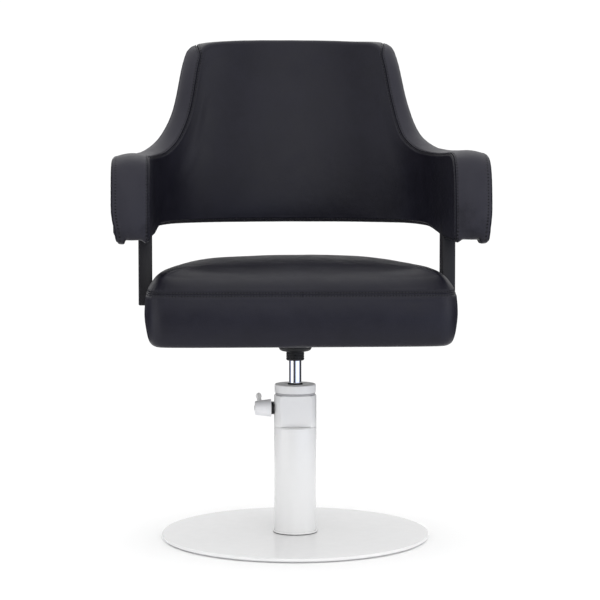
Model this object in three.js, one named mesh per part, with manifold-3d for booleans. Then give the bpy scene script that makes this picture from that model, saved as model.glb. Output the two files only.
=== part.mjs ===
// Hydraulic styling chair. Millimetres, +Z up, the sitter faces -Y, +X is to
// the right when facing the back rest. The origin is on the swivel axis, on
// the floor.
import * as THREE from 'three';
import { mergeVertices } from 'three/addons/utils/BufferGeometryUtils.js';
import Module from 'manifold-3d';

const wasm = await Module();
wasm.setup();

// ---------------------------------------------------------------- dimensions
const GAP = 0.3;                 // clearance between touching pieces

// base
const DISC_R = 240;              // round floor plate
const DISC_Z0 = 2.3;
const DISC_Z1 = 7.3;
const UNDERLAY_R = 236;
const COLUMN_R = 38;             // pump column
const COLUMN_WALL = 3.2;
const TUBE_Z0 = 8.7;
const TUBE_Z1 = 197.7;
const HEAD_Z0 = 198;
const HEAD_Z1 = 256;
const HEAD_FLAT = 26;            // distance of the milled flats from the axis
const CAP_R = 37;
const CAP_Z0 = 260.5;
const CAP_Z1 = 275.5;
const ROD_R = 11;
const ROD_Z0 = 102;
const ROD_Z1 = 341;
const CYL_RI = 14.5;
const CYL_RO = 17.5;
const BUSH_Z0 = 207;
const LOCK_Z = 232;              // axis height of the swivel lock
const PIVOT_Y = 52;              // pedal pivot
const PIVOT_Z = 78;
const PLUNGER_Y = 80;
const PUMP_TOP = 34;

// seat
const SEAT_Z0 = 367;             // underside of the cover
const SEAM_Z = 457;              // seam between side band and top panel
const CROWN_H = 41;              // rise of the top panel over the seam
const CROWN_K = 17;              // how quickly the dome rises from the edge
const SEAT_R = 22;               // lower edge rounding
const LEATHER = 1.5;
const BOARD_Z0 = 369.4;
const BOARD_Z1 = 387.4;

// wraparound back and arms
const SHELL_A = 254.5;           // inner half width
const SHELL_N = 2.3;             // exponent of the rounded rear plan
const SHELL_Y560 = 205;          // inner depth behind the axis at 560 high
const SHELL_LEAN = 0.147;        // backward lean, run over rise
const SHELL_T = 55;              // thickness behind the sitter
const ARM_T = 65.5;              // thickness of the arms
const EDGE_R = 8;                // rounding of the upholstered edges
const PLY_T0 = 26;               // plywood shell, measured from the inner face
const PLY_T1 = 36;
const N_COL = 32;
const N_ROW = 4;

// posts
const POST_X0 = 256.4;
const POST_X1 = 280.2;
const POST_Y0 = -79;
const POST_Y1 = -39;
const POST_Z0 = 424;
const POST_Z1 = 606;

// ---------------------------------------------------------------- materials
const mats = {
  leather: () => new THREE.MeshStandardMaterial({ color: 0x25242a, roughness: 0.42, metalness: 0 }),
  leatherUnder: () => new THREE.MeshStandardMaterial({ color: 0x1d1c20, roughness: 0.7, metalness: 0 }),
  foam: () => new THREE.MeshStandardMaterial({ color: 0xd8d2b4, roughness: 0.95, metalness: 0 }),
  ply: () => new THREE.MeshStandardMaterial({ color: 0xc49a62, roughness: 0.7, metalness: 0 }),
  white: () => new THREE.MeshStandardMaterial({ color: 0xe9eaec, roughness: 0.22, metalness: 0 }),
  black: () => new THREE.MeshStandardMaterial({ color: 0x1b1b1e, roughness: 0.4, metalness: 0.1 }),
  chrome: () => new THREE.MeshStandardMaterial({ color: 0xdfe1e4, roughness: 0.08, metalness: 1 }),
  steel: () => new THREE.MeshStandardMaterial({ color: 0x9a9da1, roughness: 0.4, metalness: 1 }),
  rubber: () => new THREE.MeshStandardMaterial({ color: 0x141414, roughness: 0.9, metalness: 0 }),
  bronze: () => new THREE.MeshStandardMaterial({ color: 0xb08a4a, roughness: 0.4, metalness: 1 }),
};

const group = new THREE.Group();
group.name = 'styling_chair';

function add(name, geometry, material) {
  geometry.computeVertexNormals();
  const mesh = new THREE.Mesh(geometry, material);
  mesh.name = name;
  group.add(mesh);
  return mesh;
}

// ---------------------------------------------------------------- solids
function toManifold(geometry) {
  const g = geometry.clone();
  g.deleteAttribute('normal');
  g.deleteAttribute('uv');
  const m = mergeVertices(g, 1e-4);
  return new wasm.Manifold(new wasm.Mesh({
    numProp: 3,
    vertProperties: new Float32Array(m.attributes.position.array),
    triVerts: new Uint32Array(m.index.array),
  }));
}

function fromManifold(man) {
  const mesh = man.getMesh();
  const g = new THREE.BufferGeometry();
  const np = mesh.numProp;
  const n = mesh.vertProperties.length / np;
  const pos = new Float32Array(n * 3);
  for (let i = 0; i < n; i++) {
    for (let k = 0; k < 3; k++) pos[i * 3 + k] = mesh.vertProperties[i * np + k];
  }
  g.setAttribute('position', new THREE.BufferAttribute(pos, 3));
  g.setIndex(new THREE.BufferAttribute(new Uint32Array(mesh.triVerts), 1));
  return g;
}

// a solid of revolution about Z from closed or axis-to-axis (r, z) points,
// listed going up the outside
function lathe(points, segments = 36) {
  const pts = points.map(([r, z]) => new THREE.Vector2(r, z));
  const g = new THREE.LatheGeometry(pts, segments);
  g.rotateX(Math.PI / 2);
  return g;
}

function ring(rIn, rOut, z0, z1, segments = 36) {
  return lathe([[rIn, z0], [rOut, z0], [rOut, z1], [rIn, z1], [rIn, z0]], segments);
}

function disc(r, z0, z1, segments = 36) {
  return lathe([[0, z0], [r, z0], [r, z1], [0, z1]], segments);
}

function box(x0, x1, y0, y1, z0, z1) {
  const g = new THREE.BoxGeometry(x1 - x0, y1 - y0, z1 - z0);
  g.translate((x0 + x1) / 2, (y0 + y1) / 2, (z0 + z1) / 2);
  return g;
}

// cylinder along X
function rodX(r, x0, x1, y, z, segments = 24) {
  const g = disc(r, x0, x1, segments);
  g.rotateY(Math.PI / 2);
  g.translate(0, y, z);
  return g;
}

function shift(g, x, y, z) {
  g.translate(x, y, z);
  return g;
}

function hexBolt(af, headZ0, headZ1, shankR, shankZ1, up = 1) {
  // head below, shank up (or mirrored)
  const head = toManifold(disc(af / Math.sqrt(3), headZ0, headZ1, 6));
  const shank = toManifold(disc(shankR, Math.min(headZ1, shankZ1) - 0.5 * up, Math.max(headZ1, shankZ1), 12));
  return head.add(shank);
}

function union(...geometries) {
  return geometries.map(toManifold).reduce((a, b) => a.add(b));
}

// a closed solid from triangles shared by two sheets of nodes
function thicken(front, back, tris) {
  const n = front.length;
  const pos = new Float32Array(n * 6);
  for (let i = 0; i < n; i++) {
    for (let k = 0; k < 3; k++) {
      pos[i * 3 + k] = front[i][k];
      pos[(n + i) * 3 + k] = back[i][k];
    }
  }
  const index = [];
  const edges = new Map();
  for (const [a, b, c] of tris) {
    index.push(a, b, c, n + a, n + c, n + b);
    for (const [p, q] of [[a, b], [b, c], [c, a]]) edges.set(p + '_' + q, [p, q]);
  }
  for (const [p, q] of edges.values()) {
    if (edges.has(q + '_' + p)) continue;
    index.push(q, p, n + p, q, n + p, n + q);
  }
  const used = new Uint8Array(2 * n);
  for (const i of index) used[i] = 1;
  const map = new Int32Array(2 * n).fill(-1);
  const kept = [];
  for (let i = 0; i < 2 * n; i++) {
    if (used[i]) {
      map[i] = kept.length / 3;
      kept.push(pos[i * 3], pos[i * 3 + 1], pos[i * 3 + 2]);
    }
  }
  const g = new THREE.BufferGeometry();
  g.setAttribute('position', new THREE.BufferAttribute(new Float32Array(kept), 3));
  g.setIndex(index.map((i) => map[i]));
  return g;
}

// a closed solid from loops, bottom centre to top centre
function ringSolid(rings, bottom, top) {
  const K = rings[0].length;
  const verts = [];
  for (const r of rings) for (const p of r) verts.push(...p);
  const index = [];
  for (let j = 0; j + 1 < rings.length; j++) {
    for (let k = 0; k < K; k++) {
      const a = j * K + k;
      const b = j * K + ((k + 1) % K);
      index.push(a, b, b + K, a, b + K, a + K);
    }
  }
  const bi = verts.length / 3;
  verts.push(...bottom);
  const ti = bi + 1;
  verts.push(...top);
  const last = (rings.length - 1) * K;
  for (let k = 0; k < K; k++) {
    index.push(bi, (k + 1) % K, k);
    index.push(ti, last + k, last + ((k + 1) % K));
  }
  const g = new THREE.BufferGeometry();
  g.setAttribute('position', new THREE.BufferAttribute(new Float32Array(verts), 3));
  g.setIndex(index);
  return g;
}

// a closed ring-shaped solid from a loop of loops
function torusSolid(rings) {
  const K = rings[0].length;
  const J = rings.length;
  const verts = [];
  for (const r of rings) for (const p of r) verts.push(...p);
  const index = [];
  for (let j = 0; j < J; j++) {
    for (let k = 0; k < K; k++) {
      const a = j * K + k;
      const b = j * K + ((k + 1) % K);
      const c = ((j + 1) % J) * K + ((k + 1) % K);
      const d = ((j + 1) % J) * K + k;
      index.push(a, b, c, a, c, d);
    }
  }
  const g = new THREE.BufferGeometry();
  g.setAttribute('position', new THREE.BufferAttribute(new Float32Array(verts), 3));
  g.setIndex(index);
  return g;
}

const clamp = (v, a, b) => Math.min(b, Math.max(a, v));
const smooth = (a, b, v) => {
  const x = clamp((v - a) / (b - a), 0, 1);
  return x * x * (3 - 2 * x);
};
const lerp = (a, b, u) => a + (b - a) * u;

// ================================================================ base
add('rubber_underlay', disc(UNDERLAY_R, 0, 2, 72), mats.rubber());

const boltSpots = [[24, 24], [-24, 24], [-24, -24], [24, -24]].map(([x, y]) => [x * 0.78, y * 0.78]);
{
  let d = toManifold(lathe([[0, DISC_Z0], [DISC_R - 1.6, DISC_Z0], [DISC_R, DISC_Z0 + 1.1],
    [DISC_R, DISC_Z1 - 1.6], [DISC_R - 1.6, DISC_Z1], [0, DISC_Z1]], 72));
  for (const [x, y] of boltSpots) {
    const hole = toManifold(shift(lathe([[0, 1], [7.6, 1], [7.6, 2.9], [4.4, 6.1], [4.4, 9], [0, 9]], 12), x, y, 0));
    d = d.subtract(hole);
  }
  add('base_disc', fromManifold(d), mats.white());
}
boltSpots.forEach(([x, y], i) => {
  const g = shift(lathe([[0, 2.5], [7.1, 2.5], [7.1, 2.7], [4, 5.8], [4, 24], [0, 24]], 12), x, y, 0);
  add('disc_bolt_' + (i + 1), g, mats.steel());
});
{
  let v = toManifold(disc(COLUMN_R - COLUMN_WALL - GAP, TUBE_Z0, 42));
  for (const [x, y] of boltSpots) {
    v = v.subtract(toManifold(shift(disc(4.3, 0, 28, 12), x, y, 0)));
  }
  // oil gallery up into the cylinder
  v = v.subtract(toManifold(disc(3, 20, 50, 12)));
  add('valve_block', fromManifold(v), mats.steel());
}
{
  let g = toManifold(ring(31, 40, 7.6, 8.4));
  g = g.subtract(toManifold(box(-18.6, 18.6, 30, 50, 0, 20)));
  add('foot_gasket', fromManifold(g), mats.rubber());
}
{
  let g = toManifold(lathe([[COLUMN_R + GAP, TUBE_Z0], [40.6, TUBE_Z0], [40.6, 11], [39.8, 11.9],
    [COLUMN_R + GAP, 11.9], [COLUMN_R + GAP, TUBE_Z0]]));
  g = g.subtract(toManifold(box(-18.6, 18.6, 30, 60, 0, 20)));
  add('column_foot_ring', fromManifold(g), mats.white());
}
add('column_tube', ring(COLUMN_R - COLUMN_WALL, COLUMN_R, TUBE_Z0, TUBE_Z1), mats.white());
{
  let h = toManifold(ring(20.2, COLUMN_R, HEAD_Z0, HEAD_Z1));
  h = h.subtract(toManifold(box(-60, 60, -60, -HEAD_FLAT, HEAD_Z0 + 1.2, HEAD_Z1 + 1)));
  h = h.subtract(toManifold(box(-60, 60, HEAD_FLAT, 60, HEAD_Z0 + 1.2, HEAD_Z1 + 1)));
  h = h.subtract(toManifold(rodX(6.3, -60, 0, 0, LOCK_Z)));
  add('column_head', fromManifold(h), mats.white());
}
add('head_gasket', ring(20.2, 35, HEAD_Z1 + GAP, CAP_Z0 - GAP), mats.rubber());
add('column_cap', lathe([[13.8, CAP_Z0], [CAP_R - 0.5, CAP_Z0], [CAP_R, CAP_Z0 + 0.6], [CAP_R, CAP_Z1 - 2],
  [CAP_R - 0.6, CAP_Z1 - 0.6], [CAP_R - 2, CAP_Z1], [13.8, CAP_Z1], [13.8, CAP_Z0]]), mats.white());
add('rod_wiper', lathe([[11.3, 266], [13.5, 266], [13.5, 275.6], [12.6, 276.6], [11.4, 276.6], [11.3, 266]], 24), mats.rubber());
{
  let b = toManifold(ring(11.3, 19.9, BUSH_Z0, HEAD_Z1, 24));
  b = b.subtract(toManifold(rodX(6.3, -60, 0, 0, LOCK_Z)));
  add('guide_bush', fromManifold(b), mats.bronze());
}
add('pressure_cylinder', ring(CYL_RI, CYL_RO, 42.3, BUSH_Z0 - GAP, 24), mats.steel());

// swivel lock
add('lock_washer', shift(ringX(5.4, 11.5, -43.2, -38.4), 0, 0, LOCK_Z), mats.black());
function ringX(r0, r1, x0, x1, segments = 24) {
  const g = ring(r0, r1, x0, x1, segments);
  g.rotateY(Math.PI / 2);
  return g;
}
const leverTilt = 3.6 * Math.PI / 180;
{
  // hub turned down towards a rounded outer end; lathe axis becomes -X
  const prof = [[5.4, 43.5], [14.6, 43.5], [15.3, 44.4], [15.2, 50], [14.4, 58], [13.2, 66],
    [11.6, 70.4], [9.2, 72.2], [5.4, 72.6], [5.4, 43.5]];
  const hub = lathe(prof, 24);
  hub.rotateY(-Math.PI / 2);
  hub.translate(0, 0, LOCK_Z);
  let h = toManifold(hub);
  h = h.subtract(leverSolid(0.3, 7.8));
  add('lock_hub', fromManifold(h), mats.white());
}
function leverSolid(grow, y0) {
  const w = 4 + grow;
  const g = box(-62 - w, -62 + w, y0, 112 + grow, -4.5 - grow, 4.5 + grow);
  g.rotateX(leverTilt);
  g.translate(0, 0, LOCK_Z);
  const tip = new THREE.SphereGeometry(1, 16, 10);
  tip.scale(6.5 + grow, 8 + grow, 6.5 + grow);
  tip.translate(-62, 112, 0);
  tip.rotateX(leverTilt);
  tip.translate(0, 0, LOCK_Z);
  return toManifold(g).add(toManifold(tip));
}
add('lock_arm', fromManifold(leverSolid(0, 8.2)), mats.white());
add('lock_spindle', (() => {
  const g = disc(5, 20.4, 70.6, 24);
  g.rotateY(-Math.PI / 2);
  g.translate(0, 0, LOCK_Z);
  return g;
})(), mats.steel());
add('lock_hub_screw', (() => {
  const g = lathe([[0, 71], [5, 71], [5, 72.8], [4.2, 73.6], [0, 73.9]], 20);
  g.rotateY(-Math.PI / 2);
  g.translate(0, 0, LOCK_Z);
  return g;
})(), mats.steel());
add('brake_pad', (() => {
  const g = disc(5.9, 12.4, 19.8, 24);
  g.rotateY(-Math.PI / 2);
  g.translate(0, 0, LOCK_Z);
  return g;
})(), mats.bronze());

// foot pump behind the column
{
  let p = toManifold(box(-18, 18, 34, 94, 7.6, PUMP_TOP));
  p = p.subtract(toManifold(disc(COLUMN_R + GAP, 0, 60)));
  p = p.subtract(toManifold(shift(disc(5.3, 12, 60, 20), 0, PLUNGER_Y, 0)));
  add('pump_body', fromManifold(p), mats.white());
}
{
  let p = toManifold(box(-19, 19, 34, 43, PIVOT_Z - 16, PIVOT_Z + 12));
  p = p.add(toManifold(box(-19, -14.3, 40, 61, PIVOT_Z - 13, PIVOT_Z + 10)));
  p = p.add(toManifold(box(14.3, 19, 40, 61, PIVOT_Z - 13, PIVOT_Z + 10)));
  p = p.subtract(toManifold(disc(COLUMN_R + GAP, 0, 150)));
  p = p.subtract(toManifold(rodX(4.3, -40, 40, PIVOT_Y, PIVOT_Z, 20)));
  add('pedal_bracket', fromManifold(p), mats.white());
}
add('pedal_pivot_pin', rodX(4, -21, 21, PIVOT_Y, PIVOT_Z, 20), mats.steel());
{
  let p = toManifold(box(-13.5, 13.5, PIVOT_Y, 170, PIVOT_Z - 8, PIVOT_Z - 1));
  p = p.add(toManifold(rodX(8, -13.5, 13.5, PIVOT_Y, PIVOT_Z, 24)));
  p = p.add(toManifold(box(-28, 28, 166, 204, PIVOT_Z - 8, PIVOT_Z - 3)));
  p = p.subtract(toManifold(rodX(4.3, -40, 40, PIVOT_Y, PIVOT_Z, 20)));
  add('pedal_lever', fromManifold(p), mats.white());
}
{
  let p = toManifold(box(-27, 27, 172, 203, PIVOT_Z - 2.7, PIVOT_Z + 2.3));
  for (const y of [179, 187.5, 196]) {
    p = p.subtract(toManifold(box(-24, 24, y - 1.2, y + 1.2, PIVOT_Z + 1, PIVOT_Z + 5)));
  }
  add('pedal_pad', fromManifold(p), mats.rubber());
}
add('pump_plunger', shift(lathe([[0, 25.5], [5, 25.5], [5, 62.3], [8.6, 62.3], [8.6, 64.3], [5, 64.3], [4.6, 67],
  [3, 68.9], [0, 69.5]], 20), 0, PLUNGER_Y, 0), mats.chrome());
{
  // helical spring between the pump body and the plunger collar
  class Helix extends THREE.Curve {
    getPoint(t, target = new THREE.Vector3()) {
      const turns = 5;
      const a = t * turns * Math.PI * 2;
      const R = 7.4;
      return target.set(R * Math.cos(a), R * Math.sin(a), lerp(35.4, 61.1, t));
    }
  }
  const s = new THREE.Shape();
  const n = 5;
  for (let i = 0; i < n; i++) {
    const a = (i / n) * Math.PI * 2;
    if (i === 0) s.moveTo(0.9 * Math.cos(a), 0.9 * Math.sin(a));
    else s.lineTo(0.9 * Math.cos(a), 0.9 * Math.sin(a));
  }
  s.closePath();
  const g = new THREE.ExtrudeGeometry(s, { steps: 50, bevelEnabled: false, extrudePath: new Helix() });
  add('plunger_spring', shift(g, 0, PLUNGER_Y, 0), mats.steel());
}

// piston and rod
{
  const g = lathe([[0, 84], [12.8, 84], [14.2, 85.4], [14.2, 88], [12.4, 88], [12.4, 92], [14.2, 92],
    [14.2, 96], [0, 96]], 24);
  add('piston_head', g, mats.steel());
}
add('piston_seal', ring(12.6, 14.35, 88.2, 91.8, 24), mats.rubber());
add('thrust_bearing', ring(4, 10.6, 96.3, ROD_Z0 - GAP, 20), mats.steel());
add('piston_rod', lathe([[0, ROD_Z0], [10.4, ROD_Z0], [ROD_R, ROD_Z0 + 0.8], [ROD_R, ROD_Z1 - 1.2],
  [ROD_R - 1, ROD_Z1], [0, ROD_Z1]], 24), mats.chrome());

// ================================================================ under seat
add('seat_socket', lathe([[ROD_R + GAP, 318], [15.2, 318], [16.2, 319], [16.2, 335], [24.5, 335],
  [27.4, 336.6], [29.4, 340], [29.8, 343], [ROD_R + GAP, 343], [ROD_R + GAP, 318]], 32), mats.black());
{
  // pressed pan: flat centre, sloping sides, flat rim
  const sq = (h, c, z) => [[h, -c, z], [h, c, z], [c, h, z], [-c, h, z], [-h, c, z], [-h, -c, z], [-c, -h, z], [c, -h, z]];
  const lower = [[31, 20, 343.3], [88, 70, 361], [115, 95, 361]];
  const upper = [[115, 95, 365], [86, 68, 365], [29, 18, 347.3]];
  const rings = [...lower, ...upper].map(([h, c, z]) => sq(h, c, z));
  let p = toManifold(ringSolid(rings, [0, 0, 343.3], [0, 0, 347.3]));
  for (const [x, y] of [[92, 92], [-92, 92], [-92, -92], [92, -92]]) {
    p = p.subtract(toManifold(shift(disc(4.3, 350, 372, 16), x, y, 0)));
  }
  add('mounting_plate', fromManifold(p), mats.black());
}
const plateBolts = [[92, 92], [-92, 92], [-92, -92], [92, -92]];
plateBolts.forEach(([x, y], i) => {
  const b = hexBolt(13, 355.4, 360.7, 4, 383);
  const g = fromManifold(b);
  add('plate_bolt_' + (i + 1), shift(g, x, y, 0), mats.steel());
});

// ================================================================ seat
// right half of the plan, front centre to rear centre
function seatPlan() {
  const pts = [[0, -256], [60, -256], [120, -255.8], [175, -255], [215, -252.6], [240, -247.5], [255.5, -237],
    [263, -219], [264.8, -192], [262.6, -155], [257, -108], [251, -60], [247.6, -20]];
  const A = 246;
  const B = 215;
  for (const y of [18, 58, 98, 134, 163, 185, 200, 209.5]) {
    pts.push([A * Math.pow(1 - Math.pow(y / B, 2.3), 1 / 2.3), y]);
  }
  pts.push([0, 215]);
  const left = pts.slice(1, -1).reverse().map(([x, y]) => [-x, y]);
  return [...pts, ...left];
}
const SEAT_LOOP = seatPlan();
const SEAT_NORMAL = SEAT_LOOP.map((p, k) => {
  const K = SEAT_LOOP.length;
  const a = SEAT_LOOP[(k + K - 1) % K];
  const b = SEAT_LOOP[(k + 1) % K];
  const dx = b[0] - a[0];
  const dy = b[1] - a[1];
  const l = Math.hypot(dx, dy);
  return [dy / l, -dx / l];
});
const SEAT_CENTRE = [0, -20];
// loop at distance e inside the plan outline; deeper loops shrink to the centre
function seatRing(e, z, f = 1) {
  return SEAT_LOOP.map(([x, y], k) => {
    const [nx, ny] = SEAT_NORMAL[k];
    const px = x - nx * e;
    const py = y - ny * e;
    return [lerp(SEAT_CENTRE[0], px, f), lerp(SEAT_CENTRE[1], py, f), z];
  });
}
const dome = (d) => SEAM_Z + CROWN_H * (1 - Math.exp(-d / CROWN_K));
// offset of an (e, z) polyline to its left-hand normal side by delta
function offsetProfile(pts, delta) {
  return pts.map(([e, z], i) => {
    const a = pts[Math.max(0, i - 1)];
    const b = pts[Math.min(pts.length - 1, i + 1)];
    const de = b[0] - a[0];
    const dz = b[1] - a[1];
    const l = Math.hypot(de, dz);
    return [e + delta * dz / l, z - delta * de / l, pts[i][2] ?? 1];
  });
}
const DOME_ROWS = [1.8, 4, 8, 15, 27];
{
  // top panel: outer skin and inner skin
  const outer = DOME_ROWS.map((d) => [d, dome(d - 1.8) + 0.8, 1]);
  outer.push([29, 497.6, 0.78], [29, 498.2, 0.5], [29, 498.4, 0.24]);
  const inner = outer.map(([e, z, f], i) => {
    const a = outer[Math.max(0, i - 1)];
    const b = outer[Math.min(outer.length - 1, i + 1)];
    if (i >= 4) return [e, z - LEATHER, f];
    const de = b[0] - a[0];
    const dz = b[1] - a[1];
    const l = Math.hypot(de, dz);
    return [e + LEATHER * dz / l, z - LEATHER * de / l, f];
  });
  const rings = [...inner.slice().reverse(), ...outer].map(([e, z, f]) => seatRing(e, z, f));
  const g = ringSolid(rings, [0, -20, 498.5 - LEATHER], [0, -20, 498.5]);
  // the inner rings run outwards from the centre, facing down
  add('seat_top_panel', g, mats.leather());
}
{
  // side band: from the seam down, round the lower edge and under
  const R = SEAT_R;
  const zc = SEAT_Z0 + R;
  const outer = [[1.6, SEAM_Z], [0.4, 450], [-0.6, 438], [-1.4, 415], [-0.6, zc + 4]];
  for (const a of [10, 35, 60, 90]) {
    const t = a * Math.PI / 180;
    outer.push([R - R * Math.cos(t), zc - R * Math.sin(t)]);
  }
  outer.push([36, SEAT_Z0]);
  const inner = [[3.1, SEAM_Z], [1.9, 450], [0.9, 438], [0.1, 415], [0.9, zc + 4]];
  for (const a of [10, 35, 60, 90]) {
    const t = a * Math.PI / 180;
    const r = R - LEATHER;
    inner.push([R - r * Math.cos(t), zc - r * Math.sin(t)]);
  }
  inner.push([36, SEAT_Z0 + LEATHER]);
  const rings = [];
  // the deepest loops use the scaled plan so the corners stay clean
  const toRing = ([e, z]) => (e > 28 ? seatRing(28, z, 1 - (e - 28) / 225) : seatRing(e, z));
  for (const p of outer.slice().reverse()) rings.push(toRing(p));
  for (const p of inner) rings.push(toRing(p));
  let b = toManifold(torusSolid(rings));
  for (const s of [-1, 1]) {
    b = b.subtract(toManifold(box(Math.min(s * 200, s * 290), Math.max(s * 200, s * 290),
      POST_Y0 - GAP, POST_Y1 + GAP, POST_Z0 - GAP, 440 + GAP)));
  }
  add('seat_side_band', fromManifold(b), mats.leather());
}
{
  let b = toManifold(ringSolid([seatRing(20.6, BOARD_Z0), seatRing(20.6, BOARD_Z1)], [0, -20, BOARD_Z0], [0, -20, BOARD_Z1]));
  for (const [x, y] of plateBolts) b = b.subtract(toManifold(shift(disc(4.3, 360, 400, 16), x, y, 0)));
  for (const s of [-1, 1]) b = b.subtract(toManifold(shift(disc(4.3, 360, 400, 16), s * 204, -59, 0)));
  add('seat_board', fromManifold(b), mats.ply());
}
{
  const R = SEAT_R;
  const zc = SEAT_Z0 + R;
  const r = R - 1.8;
  const rows = [];
  for (const a of [60, 35, 10]) {
    const t = a * Math.PI / 180;
    rows.push([R - r * Math.cos(t), zc - r * Math.sin(t)]);
  }
  rows.push([1.3, zc + 4], [0.5, 415], [1.3, 438], [2.3, 449], [3.9, SEAM_Z - 0.5]);
  const outer = DOME_ROWS.map((d) => [d, dome(d - 1.8) + 0.8]);
  outer.push([29, 497.6]);
  for (let i = 1; i < 5; i++) {
    const a = outer[i - 1];
    const b = outer[i + 1];
    const de = b[0] - a[0];
    const dz = b[1] - a[1];
    const l = Math.hypot(de, dz);
    if (i < 4) rows.push([outer[i][0] + 1.95 * dz / l, outer[i][1] - 1.95 * de / l]);
    else rows.push([outer[i][0], outer[i][1] - 2.1]);
  }
  const rings = rows.map(([e, z]) => seatRing(e, z));
  rings.push(seatRing(29, 497.6 - 2, 0.78), seatRing(29, 498.2 - 2, 0.5), seatRing(29, 498.4 - 2, 0.24));
  const z0 = rows[0][1];
  let f = toManifold(ringSolid(rings, [0, -20, z0], [0, -20, 496.5]));
  f = f.subtract(toManifold(ringSolid([seatRing(20.3, z0 - 5), seatRing(20.3, BOARD_Z1 + GAP)],
    [0, -20, z0 - 5], [0, -20, BOARD_Z1 + GAP])));
  for (const s of [-1, 1]) {
    const bx = (x0, x1, y0, y1, z0_, z1) => box(Math.min(s * x0, s * x1), Math.max(s * x0, s * x1), y0, y1, z0_, z1);
    f = f.subtract(toManifold(bx(221.7, 300, POST_Y0 - GAP, POST_Y1 + GAP, POST_Z0 - GAP, 440 + GAP)));
    f = f.subtract(toManifold(bx(221.7, 227.3, POST_Y0 - GAP, POST_Y1 + GAP, BOARD_Z1, 440 + GAP)));
    f = f.subtract(toManifold(bx(189.7, 227.3, POST_Y0 - GAP, POST_Y1 + GAP, BOARD_Z1, 392.7 + GAP)));
    f = f.subtract(toManifold(shift(disc(8.5, 390, 399, 16), s * 204, -59, 0)));
  }
  add('seat_foam', fromManifold(f), mats.foam());
}
{
  let d = toManifold(ringSolid([seatRing(26, SEAT_Z0 - 1.5), seatRing(26, SEAT_Z0 - GAP)],
    [0, -20, SEAT_Z0 - 1.5], [0, -20, SEAT_Z0 - GAP]));
  for (const [x, y] of plateBolts) d = d.subtract(toManifold(shift(disc(4.6, 360, 370, 16), x, y, 0)));
  add('seat_dust_cover', fromManifold(d), mats.leatherUnder());
}

// ================================================================ back and arms
const C_EXP = 2 / SHELL_N;
const shellDepth = (z) => SHELL_Y560 + (z - 560) * SHELL_LEAN;
const REF_B = shellDepth(690);
const PHI_TABLE = [];
{
  let len = 0;
  let px = 0;
  let py = REF_B;
  const n = 4000;
  PHI_TABLE.push([0, 0]);
  for (let i = 1; i <= n; i++) {
    const phi = (i / n) * Math.PI / 2;
    const x = SHELL_A * Math.pow(Math.sin(phi), C_EXP);
    const y = REF_B * Math.pow(Math.max(0, Math.cos(phi)), C_EXP);
    len += Math.hypot(x - px, y - py);
    px = x;
    py = y;
    PHI_TABLE.push([len, phi]);
  }
}
const S_ARM = PHI_TABLE[PHI_TABLE.length - 1][0];
function lookup(v, from, to) {
  let lo = 0;
  let hi = PHI_TABLE.length - 1;
  while (hi - lo > 1) {
    const mid = (lo + hi) >> 1;
    if (PHI_TABLE[mid][from] <= v) lo = mid; else hi = mid;
  }
  const a = PHI_TABLE[lo];
  const b = PHI_TABLE[hi];
  return lerp(a[to], b[to], (v - a[from]) / (b[from] - a[from]));
}
const sOfX = (x) => lookup(Math.asin(Math.pow(x / SHELL_A, 1 / C_EXP)), 1, 0);
function planPoint(s, z) {
  const q = Math.sign(s) || 1;
  const m = Math.abs(s);
  if (m <= S_ARM) {
    const phi = lookup(m, 0, 1);
    return [q * SHELL_A * Math.pow(Math.sin(phi), C_EXP), shellDepth(z) * Math.pow(Math.max(0, Math.cos(phi)), C_EXP)];
  }
  return [q * SHELL_A, -(m - S_ARM)];
}
function planNormal(s, z) {
  const h = 6;
  const a = planPoint(s - h, z);
  const b = planPoint(s + h, z);
  const dx = b[0] - a[0];
  const dy = b[1] - a[1];
  const l = Math.hypot(dx, dy);
  return [-dy / l, dx / l];
}
const shellThick = (s) => lerp(SHELL_T, ARM_T, smooth(S_ARM - 190, S_ARM + 20, Math.abs(s)));
// t is the depth from the inner face, 0 .. 1 share of the thickness past the
// plywood handled by the callers in millimetres
function shellPoint(s, z, t) {
  const [x, y] = planPoint(s, z);
  const [nx, ny] = planNormal(s, z);
  const T = shellThick(s);
  const drop = 5 * (t / T) * smooth(S_ARM - 120, S_ARM, Math.abs(s)) * smooth(610, 690, z);
  return [x + nx * t, y + ny * t, z - drop];
}

// outline of the developed shell, right half, top centre to front lower corner
const TOP_RAW = [
  ['x', 0, 903], ['x', 60, 902.4], ['x', 105, 900.6], ['x', 138, 897.6], ['x', 154, 892.5], ['x', 163.5, 883],
  ['x', 168.5, 868], ['x', 173, 848], ['x', 177.6, 820], ['x', 182, 793], ['x', 188, 765], ['x', 197.5, 739],
  ['x', 211, 715], ['x', 229, 697.5], ['x', 245, 689.5],
  ['y', 10, 686.4], ['y', -60, 686], ['y', -130, 686], ['y', -172, 684.6], ['y', -199, 678.5], ['y', -219, 667],
  ['y', -232, 651], ['y', -239, 630], ['y', -242, 600], ['y', -243, 572],
  ['y', -242.6, 560], ['y', -240, 551.5], ['y', -235, 547],
];
const topPath = TOP_RAW.map(([kind, v, z]) => {
  if (kind === 'x') return [sOfX(v), z];
  if (v >= 0) {
    // on the rear curve close to the arm
    const phi = Math.acos(Math.pow(v / REF_B, 1 / C_EXP));
    return [lookup(phi, 1, 0), z];
  }
  return [S_ARM - v, z];
});
const bottomZ = (s) => lerp(558.5, 545.8, smooth(S_ARM * 0.55, S_ARM + 90, Math.abs(s)));

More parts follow.
